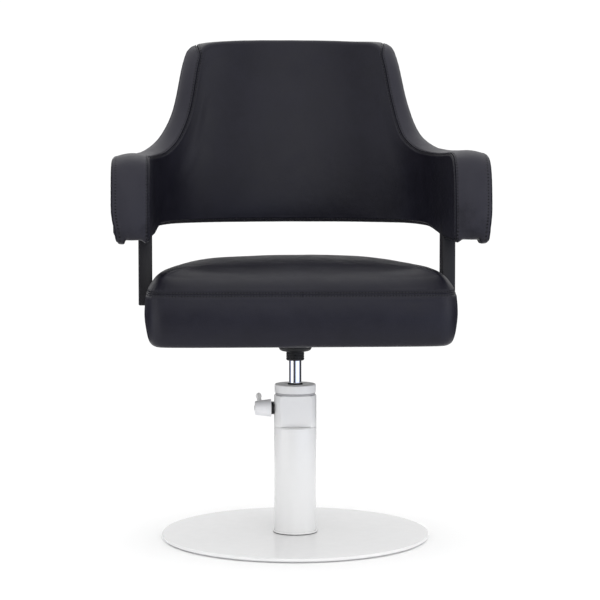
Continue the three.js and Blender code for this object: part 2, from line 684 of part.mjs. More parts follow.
function resample(path, weights, n) {
  const acc = [0];
  for (let i = 1; i < path.length; i++) {
    const l = Math.hypot(path[i][0] - path[i - 1][0], path[i][1] - path[i - 1][1]);
    acc.push(acc[i - 1] + l * (weights ? weights[i] : 1));
  }
  const total = acc[acc.length - 1];
  const out = [];
  let j = 1;
  for (let k = 0; k <= n; k++) {
    const t = (k / n) * total;
    while (j < path.length - 1 && acc[j] < t) j++;
    const u = (t - acc[j - 1]) / (acc[j] - acc[j - 1]);
    out.push([lerp(path[j - 1][0], path[j][0], u), lerp(path[j - 1][1], path[j][1], u)]);
  }
  return out;
}
// Catmull-Rom through the raw outline for a smooth contour
function smoothPath(path, per) {
  const curve = new THREE.CatmullRomCurve3(path.map(([s, z]) => new THREE.Vector3(s, z, 0)), false, 'centripetal');
  return curve.getPoints(path.length * per).map((p) => [p.x, p.y]);
}
const HALF = N_COL / 2;
const topSmooth = smoothPath(topPath, 8);
// closer spacing where the outline bends
const topWeights = topSmooth.map((p, i) => {
  if (i === 0 || i === topSmooth.length - 1) return 1;
  const a = topSmooth[i - 1];
  const b = topSmooth[i + 1];
  const t1 = Math.atan2(p[1] - a[1], p[0] - a[0]);
  const t2 = Math.atan2(b[1] - p[1], b[0] - p[0]);
  const l = Math.hypot(b[0] - a[0], b[1] - a[1]) / 2;
  return 1 + Math.min(2.2, 26 * Math.abs(t2 - t1) / l);
});
const rightTop = resample(topSmooth, topWeights, HALF);
// bottom partners
const weightLen = [0];
for (let i = 1; i < rightTop.length; i++) {
  weightLen.push(weightLen[i - 1] + Math.abs(rightTop[i][0] - rightTop[i - 1][0]) + 0.35 * Math.abs(rightTop[i][1] - rightTop[i - 1][1]));
}
const S_BOTTOM_END = S_ARM + 226;
const rightBottom = weightLen.map((w) => {
  const s = S_BOTTOM_END * w / weightLen[HALF];
  return [s, bottomZ(s)];
});
rightBottom[HALF] = rightTop[HALF].slice();
// closed loop, clockwise seen from the seat: left corner, top side, right
// corner, bottom side
const LOOP = [];
for (let i = HALF; i >= 1; i--) LOOP.push([-rightTop[i][0], rightTop[i][1]]);
for (let i = 0; i <= HALF; i++) LOOP.push(rightTop[i].slice());
for (let i = HALF - 1; i >= 1; i--) LOOP.push(rightBottom[i].slice());
for (let i = 0; i <= HALF - 1; i++) LOOP.push([-rightBottom[i][0], rightBottom[i][1]]);
const KL = LOOP.length;               // 2 * N_COL
const LOOP_IN = LOOP.map((p, m) => {
  const a = LOOP[(m + KL - 1) % KL];
  const b = LOOP[(m + 1) % KL];
  const u = [p[0] - a[0], p[1] - a[1]];
  const v = [b[0] - p[0], b[1] - p[1]];
  const lu = Math.hypot(...u);
  const lv = Math.hypot(...v);
  const d = [u[0] / lu + v[0] / lv, u[1] / lu + v[1] / lv];
  const l = Math.hypot(...d);
  return [d[1] / l, -d[0] / l];
});
const loopAt = (m, e) => [LOOP[m][0] + LOOP_IN[m][0] * e, LOOP[m][1] + LOOP_IN[m][1] * e];

// nodes shared by every layer: ring rows plus the inner fan grid
function layerSheet(ringRows, gridT) {
  // ringRows: [[e, t(T)], ...] from e = EDGE_R outwards; gridT(T) for the grid
  const pts = [];
  const id = {};
  ringRows.forEach(([e, tf], k) => {
    for (let m = 0; m < KL; m++) {
      const [s, z] = loopAt(m, e);
      id['r' + k + '_' + m] = pts.length;
      pts.push(shellPoint(s, z, tf(shellThick(s))));
    }
  });
  for (let i = 1; i < N_COL; i++) {
    const b = loopAt((KL - i) % KL, EDGE_R);
    const t = loopAt(i, EDGE_R);
    for (let j = 1; j < N_ROW; j++) {
      const s = lerp(b[0], t[0], j / N_ROW);
      const z = lerp(b[1], t[1], j / N_ROW);
      id['g' + i + '_' + j] = pts.length;
      pts.push(shellPoint(s, z, gridT(shellThick(s))));
    }
  }
  return { pts, id };
}
function gridTris(id) {
  const tris = [];
  const node = (i, j) => {
    if (i === 0 || i === N_COL) return id['r0_' + i];
    if (j === 0) return id['r0_' + ((KL - i) % KL)];
    if (j === N_ROW) return id['r0_' + i];
    return id['g' + i + '_' + j];
  };
  for (let i = 0; i < N_COL; i++) {
    for (let j = 0; j < N_ROW; j++) {
      const a = node(i, j);
      const b = node(i + 1, j);
      const c = node(i + 1, j + 1);
      const d = node(i, j + 1);
      if (a !== b && b !== c && a !== c) tris.push([a, b, c]);
      if (a !== c && c !== d && a !== d) tris.push([a, c, d]);
    }
  }
  return tris;
}
function ringTris(id, k0, k1, mFrom = 0, mTo = KL) {
  const tris = [];
  for (let m = mFrom; m < mTo; m++) {
    const n = (m + 1) % KL;
    const a = id['r' + k0 + '_' + (m % KL)];
    const b = id['r' + k0 + '_' + n];
    const c = id['r' + k1 + '_' + n];
    const d = id['r' + k1 + '_' + (m % KL)];
    tris.push([a, b, c], [a, c, d]);
  }
  return tris;
}
const rad = (a) => a * Math.PI / 180;
const arcE = (a, delta) => EDGE_R - (EDGE_R - delta) * Math.sin(rad(a));
const arcT = (a, delta) => EDGE_R - (EDGE_R - delta) * Math.cos(rad(a));

function slabLayer(frontRows, frontT, backRows, backT, extra) {
  const f = layerSheet(frontRows, frontT);
  const b = layerSheet(backRows, backT);
  let tris = gridTris(f.id);
  for (let k = 0; k + 1 < frontRows.length; k++) {
    if (extra && k >= extra.from) tris = tris.concat(ringTris(f.id, k, k + 1, extra.m0, extra.m1));
    else tris = tris.concat(ringTris(f.id, k, k + 1));
  }
  return thicken(f.pts, b.pts, tris);
}

// where the side bands end at the top corners
const CORNER_M = (() => {
  // loop index on the top side whose s is nearest the corner
  let best = 0;
  const target = sOfX(150);
  for (let i = HALF; i <= N_COL; i++) {
    if (Math.abs(LOOP[i][0] - target) < Math.abs(LOOP[best][0] - target)) best = i;
  }
  return best;
})();
const M_RIGHT = CORNER_M;
const M_LEFT = N_COL - CORNER_M;

const postCut = (s, grow, z1 = POST_Z1 + GAP) => toManifold(box(
  Math.min(s * (POST_X0 - grow), s * (POST_X1 + grow)), Math.max(s * (POST_X0 - grow), s * (POST_X1 + grow)),
  POST_Y0 - grow, POST_Y1 + grow, 520, z1));
const SCREW_Z = [570, 594];
const SCREW_Y = -59;
const screwCut = (s, r, x0, x1) => SCREW_Z.map((z) => toManifold(
  rodX(r, Math.min(s * x0, s * x1), Math.max(s * x0, s * x1), SCREW_Y, z, 16)));

// inner leather panel, carried over the top edge to the rear seam
{
  const ang = [0, 22, 42];
  const wrapF = [[arcE(62, 0), () => arcT(62, 0)], [0, () => EDGE_R],
    [0, (T) => T - EDGE_R], [arcE(62, 0), (T) => T - arcT(62, 0)], [arcE(45, 0), (T) => T - arcT(45, 0)]];
  const wrapB = [[arcE(62, LEATHER), () => arcT(62, LEATHER)], [LEATHER, () => EDGE_R],
    [LEATHER, (T) => T - EDGE_R], [arcE(62, LEATHER), (T) => T - arcT(62, LEATHER)], [arcE(45, LEATHER), (T) => T - arcT(45, LEATHER)]];
  const front = ang.map((a) => [arcE(a, 0), () => arcT(a, 0)]).concat(wrapF);
  const back = ang.map((a) => [arcE(a, LEATHER), () => arcT(a, LEATHER)]).concat(wrapB);
  let g = toManifold(slabLayer(front, () => 0, back, () => LEATHER, { from: 2, m0: M_LEFT, m1: M_RIGHT }));
  for (const s of [-1, 1]) g = g.subtract(postCut(s, GAP));
  add('shell_inner_panel', fromManifold(g), mats.leather());
}
// outer leather panel
{
  const ang = [0, 20, 38];
  const front = ang.map((a) => [arcE(a, LEATHER), (T) => T - arcT(a, LEATHER)]);
  const back = ang.map((a) => [arcE(a, 0), (T) => T - arcT(a, 0)]);
  add('shell_outer_panel', slabLayer(front, (T) => T - LEATHER, back, (T) => T), mats.leather());
}
// foam and plywood
{
  const d = LEATHER + 0.7;
  const front = [0, 45, 90].map((a) => [arcE(a, d), () => arcT(a, d)]);
  const back = [EDGE_R, arcE(45, d), d].map((e) => [e, () => PLY_T0 - GAP]);
  let g = toManifold(slabLayer(front, () => d, back, () => PLY_T0 - GAP));
  for (const s of [-1, 1]) g = g.subtract(postCut(s, GAP));
  add('shell_inner_foam', fromManifold(g), mats.foam());
}
{
  const front = [EDGE_R, 4].map((e) => [e, () => PLY_T0]);
  const back = [EDGE_R, 4].map((e) => [e, () => PLY_T1]);
  let g = toManifold(slabLayer(front, () => PLY_T0, back, () => PLY_T1));
  for (const s of [-1, 1]) for (const c of screwCut(s, 3.3, 270, 300)) g = g.subtract(c);
  add('shell_frame', fromManifold(g), mats.ply());
}
{
  const d = LEATHER + 0.7;
  const front = [EDGE_R, arcE(45, d), d].map((e) => [e, () => PLY_T1 + GAP]);
  const back = [0, 45, 90].map((a) => [arcE(a, d), (T) => T - arcT(a, d)]);
  let g = toManifold(slabLayer(front, () => PLY_T1 + GAP, back, (T) => T - d));
  for (const s of [-1, 1]) for (const c of screwCut(s, 6.5, 285, 294.6)) g = g.subtract(c);
  add('shell_outer_foam', fromManifold(g), mats.foam());
}
// edge bands: a strip between the two seams along part of the loop
function bandRows(delta, bulge) {
  if (!bulge) {
    return [
      [arcE(48, delta), () => arcT(48, delta)],
      [arcE(70, delta), () => arcT(70, delta)],
      [delta, () => EDGE_R],
      [delta, (T) => T - EDGE_R],
      [arcE(70, delta), (T) => T - arcT(70, delta)],
      [arcE(48, delta), (T) => T - arcT(48, delta)],
    ];
  }
  return [
    [arcE(48, delta), () => arcT(48, delta)],
    [arcE(70, delta), () => arcT(70, delta)],
    [delta, () => EDGE_R],
    [delta - bulge * 0.75, (T) => lerp(EDGE_R, T - EDGE_R, 0.25)],
    [delta - bulge, (T) => lerp(EDGE_R, T - EDGE_R, 0.5)],
    [delta - bulge * 0.75, (T) => lerp(EDGE_R, T - EDGE_R, 0.75)],
    [delta, (T) => T - EDGE_R],
    [arcE(70, delta), (T) => T - arcT(70, delta)],
    [arcE(48, delta), (T) => T - arcT(48, delta)],
  ];
}
function bandSolid(stations, bulge) {
  // stations: [m, shift] with shift a fraction towards the next index
  const rowsF = bandRows(0, bulge);
  const rowsB = bandRows(LEATHER, bulge);
  const at = (rows, k, m, u) => {
    const p = (q) => {
      const [s, z] = loopAt(((q % KL) + KL) % KL, rows[k][0]);
      return shellPoint(s, z, rows[k][1](shellThick(s)));
    };
    const a = p(m);
    if (!u) return a;
    const b = p(m + 1);
    return [lerp(a[0], b[0], u), lerp(a[1], b[1], u), lerp(a[2], b[2], u)];
  };
  const f = [];
  const b = [];
  for (const [m, u] of stations) {
    for (let k = 0; k < rowsF.length; k++) {
      f.push(at(rowsF, k, m, u));
      b.push(at(rowsB, k, m, u));
    }
  }
  const R = rowsF.length;
  const tris = [];
  for (let i = 0; i + 1 < stations.length; i++) {
    for (let k = 0; k + 1 < R; k++) {
      const a = i * R + k;
      const c = (i + 1) * R + k;
      // along the loop then across
      tris.push([a, c, c + 1], [a, c + 1, a + 1]);
    }
  }
  return thicken(f, b, tris);
}
function stationList(m0, m1, startGap, endGap) {
  const len = (m) => Math.hypot(LOOP[(m + 1) % KL][0] - LOOP[m % KL][0], LOOP[(m + 1) % KL][1] - LOOP[m % KL][1]);
  const out = [[m0, startGap / len(m0)]];
  for (let m = m0 + 1; m < m1; m++) out.push([m, 0]);
  out.push([m1 - 1, 1 - endGap / len(m1 - 1)]);
  return out;
}
{
  // bands reach the top corners; the bottom band closes the underside
  const right = toManifold(bandSolid(stationList(M_RIGHT, N_COL, 0.6, 0.35), 4)).subtract(postCut(1, GAP));
  add('arm_band_right', fromManifold(right), mats.leather());
  const left = toManifold(bandSolid(stationList(0, M_LEFT, 0.35, 0.6), 4)).subtract(postCut(-1, GAP));
  add('arm_band_left', fromManifold(left), mats.leather());
  let bottom = toManifold(bandSolid(stationList(N_COL, KL, 0.35, 0.35), 0));
  for (const s of [-1, 1]) bottom = bottom.subtract(postCut(s, GAP));
  add('shell_bottom_band', fromManifold(bottom), mats.leatherUnder());
}

// ================================================================ posts
for (const [side, s] of [['left', -1], ['right', 1]]) {
  const bx = (x0, x1, y0, y1, z0, z1) => toManifold(box(Math.min(s * x0, s * x1), Math.max(s * x0, s * x1), y0, y1, z0, z1));
  let p = bx(POST_X0, POST_X1, POST_Y0, POST_Y1, POST_Z0, POST_Z1);
  p = p.add(bx(222, POST_X0 + 1, POST_Y0, POST_Y1, POST_Z0, 440));
  p = p.add(bx(222, 227, POST_Y0, POST_Y1, BOARD_Z1 + 0.3, 440));
  p = p.add(bx(190, 227, POST_Y0, POST_Y1, BOARD_Z1 + 0.3, 392.7));
  // hollow upright, open at its top end
  p = p.subtract(bx(POST_X0 + 2.2, POST_X1 - 2.2, POST_Y0 + 2.2, POST_Y1 - 2.2, POST_Z0 + 18, POST_Z1 + 2));
  for (const c of screwCut(s, 3.3, 270, 284)) p = p.subtract(c);
  p = p.subtract(toManifold(shift(disc(4.3, 380, 400, 16), s * 204, -59, 0)));
  add('post_' + side, fromManifold(p), mats.black());

  SCREW_Z.forEach((z, i) => {
    const shank = toManifold(rodX(3, Math.min(s * 275, s * 291), Math.max(s * 275, s * 291), SCREW_Y, z, 16));
    const head = toManifold(rodX(6, Math.min(s * 290.9, s * 293.9), Math.max(s * 290.9, s * 293.9), SCREW_Y, z, 16));
    add('post_screw_' + side + '_' + (i + 1), fromManifold(shank.add(head)), mats.steel());
  });
  const head = toManifold(disc(13 / Math.sqrt(3), 393, 398.3, 6));
  const shank = toManifold(disc(4, 371, 393.5, 12));
  add('post_bolt_' + side, shift(fromManifold(head.add(shank)), s * 204, -59, 0), mats.steel());
}

export default group;
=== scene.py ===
import math

import bmesh
import bpy
import numpy as np
from mathutils import Matrix, Vector


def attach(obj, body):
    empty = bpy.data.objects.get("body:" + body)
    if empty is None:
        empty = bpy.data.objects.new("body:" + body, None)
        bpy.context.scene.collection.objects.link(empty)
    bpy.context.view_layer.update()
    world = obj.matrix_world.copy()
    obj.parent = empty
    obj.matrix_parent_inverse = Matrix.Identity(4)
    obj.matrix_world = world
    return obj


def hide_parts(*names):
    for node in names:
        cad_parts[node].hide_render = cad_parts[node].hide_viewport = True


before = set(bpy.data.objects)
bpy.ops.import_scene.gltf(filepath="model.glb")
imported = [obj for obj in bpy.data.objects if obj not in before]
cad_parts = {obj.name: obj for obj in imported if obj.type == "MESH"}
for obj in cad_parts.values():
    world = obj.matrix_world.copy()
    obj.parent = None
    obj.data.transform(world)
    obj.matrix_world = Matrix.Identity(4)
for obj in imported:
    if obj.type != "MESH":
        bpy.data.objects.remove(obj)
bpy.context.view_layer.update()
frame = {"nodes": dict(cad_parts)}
SCENE = bpy.context.scene
COLL = SCENE.collection

# ------------------------------------------------------------------ camera
F_PX, DIST, EYE, PITCH, AZ, SIDE, SHIFT_PX = 2002.0, 3580.0, 712.7, 3.714, -3.14, 8.56, 30.0
cam_data = bpy.data.cameras.new("view")
cam_data.sensor_width = 36.0
cam_data.lens = F_PX * 36.0 / 600.0
cam_data.shift_y = -SHIFT_PX / 600.0
cam_data.clip_start, cam_data.clip_end = 0.05, 60
cam = bpy.data.objects.new("view", cam_data)
COLL.objects.link(cam)
_a = math.radians(AZ)
cam.location = (
    (DIST * math.sin(_a) + SIDE * math.cos(_a)) / 1000,
    (-DIST * math.cos(_a) + SIDE * math.sin(_a)) / 1000,
    EYE / 1000,
)
cam.rotation_euler = (math.radians(90 - PITCH), 0, _a)
SCENE.camera = cam
SCENE.view_settings.view_transform = "Standard"
SCENE.view_settings.look = "None"


# ------------------------------------------------------------------ numbers
def smooth(a, b, v):
    x = np.clip((np.asarray(v, float) - a) / (b - a), 0, 1)
    return x * x * (3 - 2 * x)


def lerp(a, b, u):
    return a + (b - a) * u


def gauss(d, mid, width):
    return np.exp(-(((d - mid) / width) ** 2))


def _hash(i, j, k, seed):
    n = (i * 374761393 + j * 668265263 + k * 1440662683 + seed * 1274126177) & 0xFFFFFFFF
    n = ((n ^ (n >> 13)) * 1274126177) & 0xFFFFFFFF
    n = ((n ^ (n >> 15)) * 2246822519) & 0xFFFFFFFF
    return ((n ^ (n >> 16)) & 0xFFFF) / 32767.5 - 1.0


def vnoise(p, scale, seed=0):
    """Smooth lattice noise, -1 to 1, of points (N, 3) in mm."""
    q = np.asarray(p, float) / np.asarray(scale, float)
    i = np.floor(q).astype(np.int64)
    f = q - i
    f = f * f * f * (f * (f * 6 - 15) + 10)
    out = 0
    for a in (0, 1):
        for b in (0, 1):
            for c in (0, 1):
                w = (
                    (f[:, 0] if a else 1 - f[:, 0])
                    * (f[:, 1] if b else 1 - f[:, 1])
                    * (f[:, 2] if c else 1 - f[:, 2])
                )
                out = out + w * _hash(i[:, 0] + a, i[:, 1] + b, i[:, 2] + c, seed)
    return out


def blur_closed(a, sigma):
    """Gaussian blur of a closed, evenly spaced list of rows."""
    n = len(a)
    k = np.fft.rfftfreq(n)
    g = np.exp(-2 * (math.pi * k * sigma) ** 2)
    return np.fft.irfft(np.fft.rfft(a, axis=0) * g[:, None], n, axis=0)


def arc_length(p, closed=False):
    q = np.vstack([p, p[:1]]) if closed else p
    return np.concatenate([[0], np.cumsum(np.linalg.norm(np.diff(q, axis=0), axis=1))])


def resample(p, at, closed=False):
    """Points of polyline p at the arc lengths given."""
    l = arc_length(p, closed)
    q = np.vstack([p, p[:1]]) if closed else p
    if closed:
        at = np.mod(at, l[-1])
    return np.stack([np.interp(at, l, q[:, c]) for c in range(p.shape[1])], 1)


def catmull(points, per=16):
    """Centripetal Catmull-Rom through the points."""
    p = np.asarray(points, float)
    p = np.vstack([2 * p[0] - p[1], p, 2 * p[-1] - p[-2]])
    out = []
    for i in range(1, len(p) - 2):
        p0, p1, p2, p3 = p[i - 1 : i + 3]
        t0 = 0.0
        t1 = t0 + np.linalg.norm(p1 - p0) ** 0.5
        t2 = t1 + np.linalg.norm(p2 - p1) ** 0.5
        t3 = t2 + np.linalg.norm(p3 - p2) ** 0.5
        t = np.linspace(t1, t2, per, endpoint=False)[:, None]
        a1 = (t1 - t) / (t1 - t0) * p0 + (t - t0) / (t1 - t0) * p1
        a2 = (t2 - t) / (t2 - t1) * p1 + (t - t1) / (t2 - t1) * p2
        a3 = (t3 - t) / (t3 - t2) * p2 + (t - t2) / (t3 - t2) * p3
        b1 = (t2 - t) / (t2 - t0) * a1 + (t - t0) / (t2 - t0) * a2
        b2 = (t3 - t) / (t3 - t1) * a2 + (t - t1) / (t3 - t1) * a3
        out.append((t2 - t) / (t2 - t1) * b1 + (t - t1) / (t2 - t1) * b2)
    return np.vstack(out + [p[-2][None]])


# ------------------------------------------------------------------ meshes
def make(name, verts, faces, mat, body, attrs=None, flat=False):
    me = bpy.data.meshes.new(name)
    me.from_pydata((np.asarray(verts, float) / 1000).tolist(), [], [list(map(int, f)) for f in faces])
    me.validate(clean_customdata=False)
    me.update()
    if not flat:
        me.polygons.foreach_set("use_smooth", np.ones(len(me.polygons), bool))
    if attrs:
        for k, v in attrs.items():
            at = me.attributes.new(k, "FLOAT", "POINT")
            at.data.foreach_set("value", np.asarray(v, np.float32))
    me.materials.append(mat)
    o = bpy.data.objects.new(name, me)
    COLL.objects.link(o)
    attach(o, body)
    return o


def apply_modifiers(o):
    dg = bpy.context.evaluated_depsgraph_get()
    me = bpy.data.meshes.new_from_object(o.evaluated_get(dg))
    mats = [m for m in o.data.materials]
    o.modifiers.clear()
    o.data = me
    me.materials.clear()
    for m in mats:
        me.materials.append(m)
    return o


def grid_faces(rows, cols, base=0, closed=False, flip=False):
    """Quads of a rows x cols grid of vertices stored row by row."""
    r, c = np.meshgrid(np.arange(rows - 1), np.arange(cols if closed else cols - 1), indexing="ij")
    c2 = (c + 1) % cols
    q = np.stack([r * cols + c, r * cols + c2, (r + 1) * cols + c2, (r + 1) * cols + c], -1).reshape(-1, 4) + base
    return q[:, ::-1] if flip else q


def fillet(points, radius, n=5, closed=False):
    """Rounds the corners of an (r, z) profile. radius is one number or one for each point."""
    p = [np.asarray(q, float) for q in points]
    rs = radius if hasattr(radius, "__len__") else [radius] * len(p)
    out = []
    for i, q in enumerate(p):
        if not closed and i in (0, len(p) - 1):
            out.append(q)
            continue
        a, b = p[i - 1], p[(i + 1) % len(p)]
        u, v = a - q, b - q
        lu, lv = np.linalg.norm(u), np.linalg.norm(v)
        if lu < 1e-9 or lv < 1e-9 or rs[i] <= 0:
            out.append(q)
            continue
        u, v = u / lu, v / lv
        ang = math.acos(float(np.clip(u @ v, -1, 1)))
        if ang > math.pi - 0.03:
            out.append(q)
            continue
        cut = min(rs[i] / math.tan(ang / 2), 0.48 * lu, 0.48 * lv)
        r = cut * math.tan(ang / 2)
        mid = (u + v) / np.linalg.norm(u + v)
        c = q + mid * (r / math.sin(ang / 2))
        s, e = q + u * cut - c, q + v * cut - c
        total = math.acos(float(np.clip(s @ e / (r * r), -1, 1)))
        for k in range(n + 1):
            w = k / n
            out.append(c + (s * math.sin((1 - w) * total) + e * math.sin(w * total)) / math.sin(total))
    return [tuple(q) for q in out]


def held(pts, closed, near=0.4, least=3.0):
    """Adds a ring close to both ends of every long straight run, so that its shading stays straight."""
    out = []
    n = len(pts)
    for i in range(n):
        a, b = pts[i], pts[(i + 1) % n]
        out.append(a)
        if i == n - 1 and not closed:
            break
        l = np.linalg.norm(b - a)
        if l > least:
            out += [a + (b - a) * near / l, b - (b - a) * near / l]
    return np.array(out)


def lathe(name, profile, mat, body, seg=128, axis="z", at=(0, 0, 0), closed=False, wobble=None):
    """Solid of revolution. profile: (r, height) going up the outside."""
    pts = held(np.asarray(profile, float), closed)
    if closed:
        pts = np.vstack([pts, pts[:1]])
    a = np.linspace(0, 2 * math.pi, seg, endpoint=False)
    verts, index, ring = [], [], []
    for r, z in pts[: len(pts) - (1 if closed else 0)]:
        if r < 1e-6:
            ring.append([len(verts)] * seg)
            verts.append((0, 0, z))
        else:
            start = len(verts)
            ring.append(list(range(start, start + seg)))
            verts += [(r * math.cos(t), r * math.sin(t), z) for t in a]
    if closed:
        ring.append(ring[0])
    for lo, hi in zip(ring, ring[1:]):
        for k in range(seg):
            f = [lo[k], lo[(k + 1) % seg], hi[(k + 1) % seg], hi[k]]
            f = [v for i, v in enumerate(f) if v not in f[:i]]
            if len(f) > 2:
                index.append(f)
    v = np.array(verts, float)
    if axis == "-x":
        v = np.stack([-v[:, 2], v[:, 1], v[:, 0]], 1)
        index = [f[::1] for f in index]
    v = v + np.asarray(at, float)
    return make(name, v, index, mat, body)


def tube(name, path, radius, mat, body, slot, sides=10, cap=True):
    """A round tube along a polyline in mm."""
    p = np.asarray(path, float)
    t = np.gradient(p, axis=0)
    t /= np.linalg.norm(t, axis=1)[:, None]
    n = np.cross(t[0], [0.3, 0.2, 0.9])
    n /= np.linalg.norm(n)
    rows = []
    for i in range(len(p)):
        n = n - t[i] * (n @ t[i])
        n /= np.linalg.norm(n)
        b = np.cross(t[i], n)
        a = np.linspace(0, 2 * math.pi, sides, endpoint=False)
        r = radius[i] if hasattr(radius, "__len__") else radius
        rows.append(p[i] + r * (np.cos(a)[:, None] * n + np.sin(a)[:, None] * b))
    v = np.vstack(rows)
    f = grid_faces(len(p), sides, closed=True).tolist()
    if cap:
        f.append(list(range(sides))[::-1])
        f.append([len(v) - sides + k for k in range(sides)])
    return make(name, v, f, mat, body)


def bevel_box(name, lo, hi, width, mat, body, slot, segs=3):
    bm = bmesh.new()
    bmesh.ops.create_cube(bm, size=1)
    lo, hi = np.asarray(lo, float), np.asarray(hi, float)
    for v in bm.verts:
        v.co = Vector(((lo + hi) / 2 + (np.array(v.co)) * (hi - lo)) / 1000)
    bmesh.ops.bevel(bm, geom=bm.edges[:], offset=width / 1000, segments=segs, profile=0.5, affect="EDGES")
    me = bpy.data.meshes.new(name)
    bm.to_mesh(me)
    bm.free()
    me.polygons.foreach_set("use_smooth", np.ones(len(me.polygons), bool))
    me.materials.append(mat)
    o = bpy.data.objects.new(name, me)
    COLL.objects.link(o)
    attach(o, body)
    return o


def solid_with(name, main, others, mat, body, bevel=0.0, segs=3, angle=35):
    """Boolean of prepared bmesh objects, then a rounded edge. others: [(op, object)]."""
    for op, o in others:
        m = main.modifiers.new("b", "BOOLEAN")
        m.operation = op
        m.object = o
        m.solver = "EXACT"
    apply_modifiers(main)
    for _, o in others:
        bpy.data.objects.remove(o)
    if bevel:
        m = main.modifiers.new("bevel", "BEVEL")
        m.width = bevel / 1000
        m.segments = segs
        m.limit_method = "ANGLE"
        m.angle_limit = math.radians(angle)
        m.harden_normals = False
        apply_modifiers(main)
    me = main.data
    me.name = name
    main.name = name
    me.materials.clear()
    me.materials.append(mat)
    me.polygons.foreach_set("use_smooth", np.ones(len(me.polygons), bool))
    me.set_sharp_from_angle(angle=math.radians(38))
    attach(main, body)
    return main


def raw_object(name, verts, faces):
    me = bpy.data.meshes.new(name)
    me.from_pydata((np.asarray(verts, float) / 1000).tolist(), [], [list(map(int, f)) for f in faces])
    me.update()
    o = bpy.data.objects.new(name, me)
    COLL.objects.link(o)
    return o


def raw_box(x0, x1, y0, y1, z0, z1):
    v = [(x, y, z) for x in (x0, x1) for y in (y0, y1) for z in (z0, z1)]
    f = [(0, 1, 3, 2), (4, 6, 7, 5), (0, 4, 5, 1), (2, 3, 7, 6), (0, 2, 6, 4), (1, 5, 7, 3)]
    return raw_object("tool", v, f)


def raw_cyl(r, p0, p1, seg=64):
    p0, p1 = np.asarray(p0, float), np.asarray(p1, float)
    t = (p1 - p0) / np.linalg.norm(p1 - p0)
    n = np.cross(t, [0, 0, 1] if abs(t[2]) < 0.9 else [1, 0, 0])
    n /= np.linalg.norm(n)
    b = np.cross(t, n)
    a = np.linspace(0, 2 * math.pi, seg, endpoint=False)
    ring = r * (np.cos(a)[:, None] * n + np.sin(a)[:, None] * b)
    v = np.vstack([p0 + ring, p1 + ring])
    f = [[k, (k + 1) % seg, seg + (k + 1) % seg, seg + k] for k in range(seg)]
    f += [list(range(seg))[::-1], [seg + k for k in range(seg)]]
    return raw_object("tool", v, f)


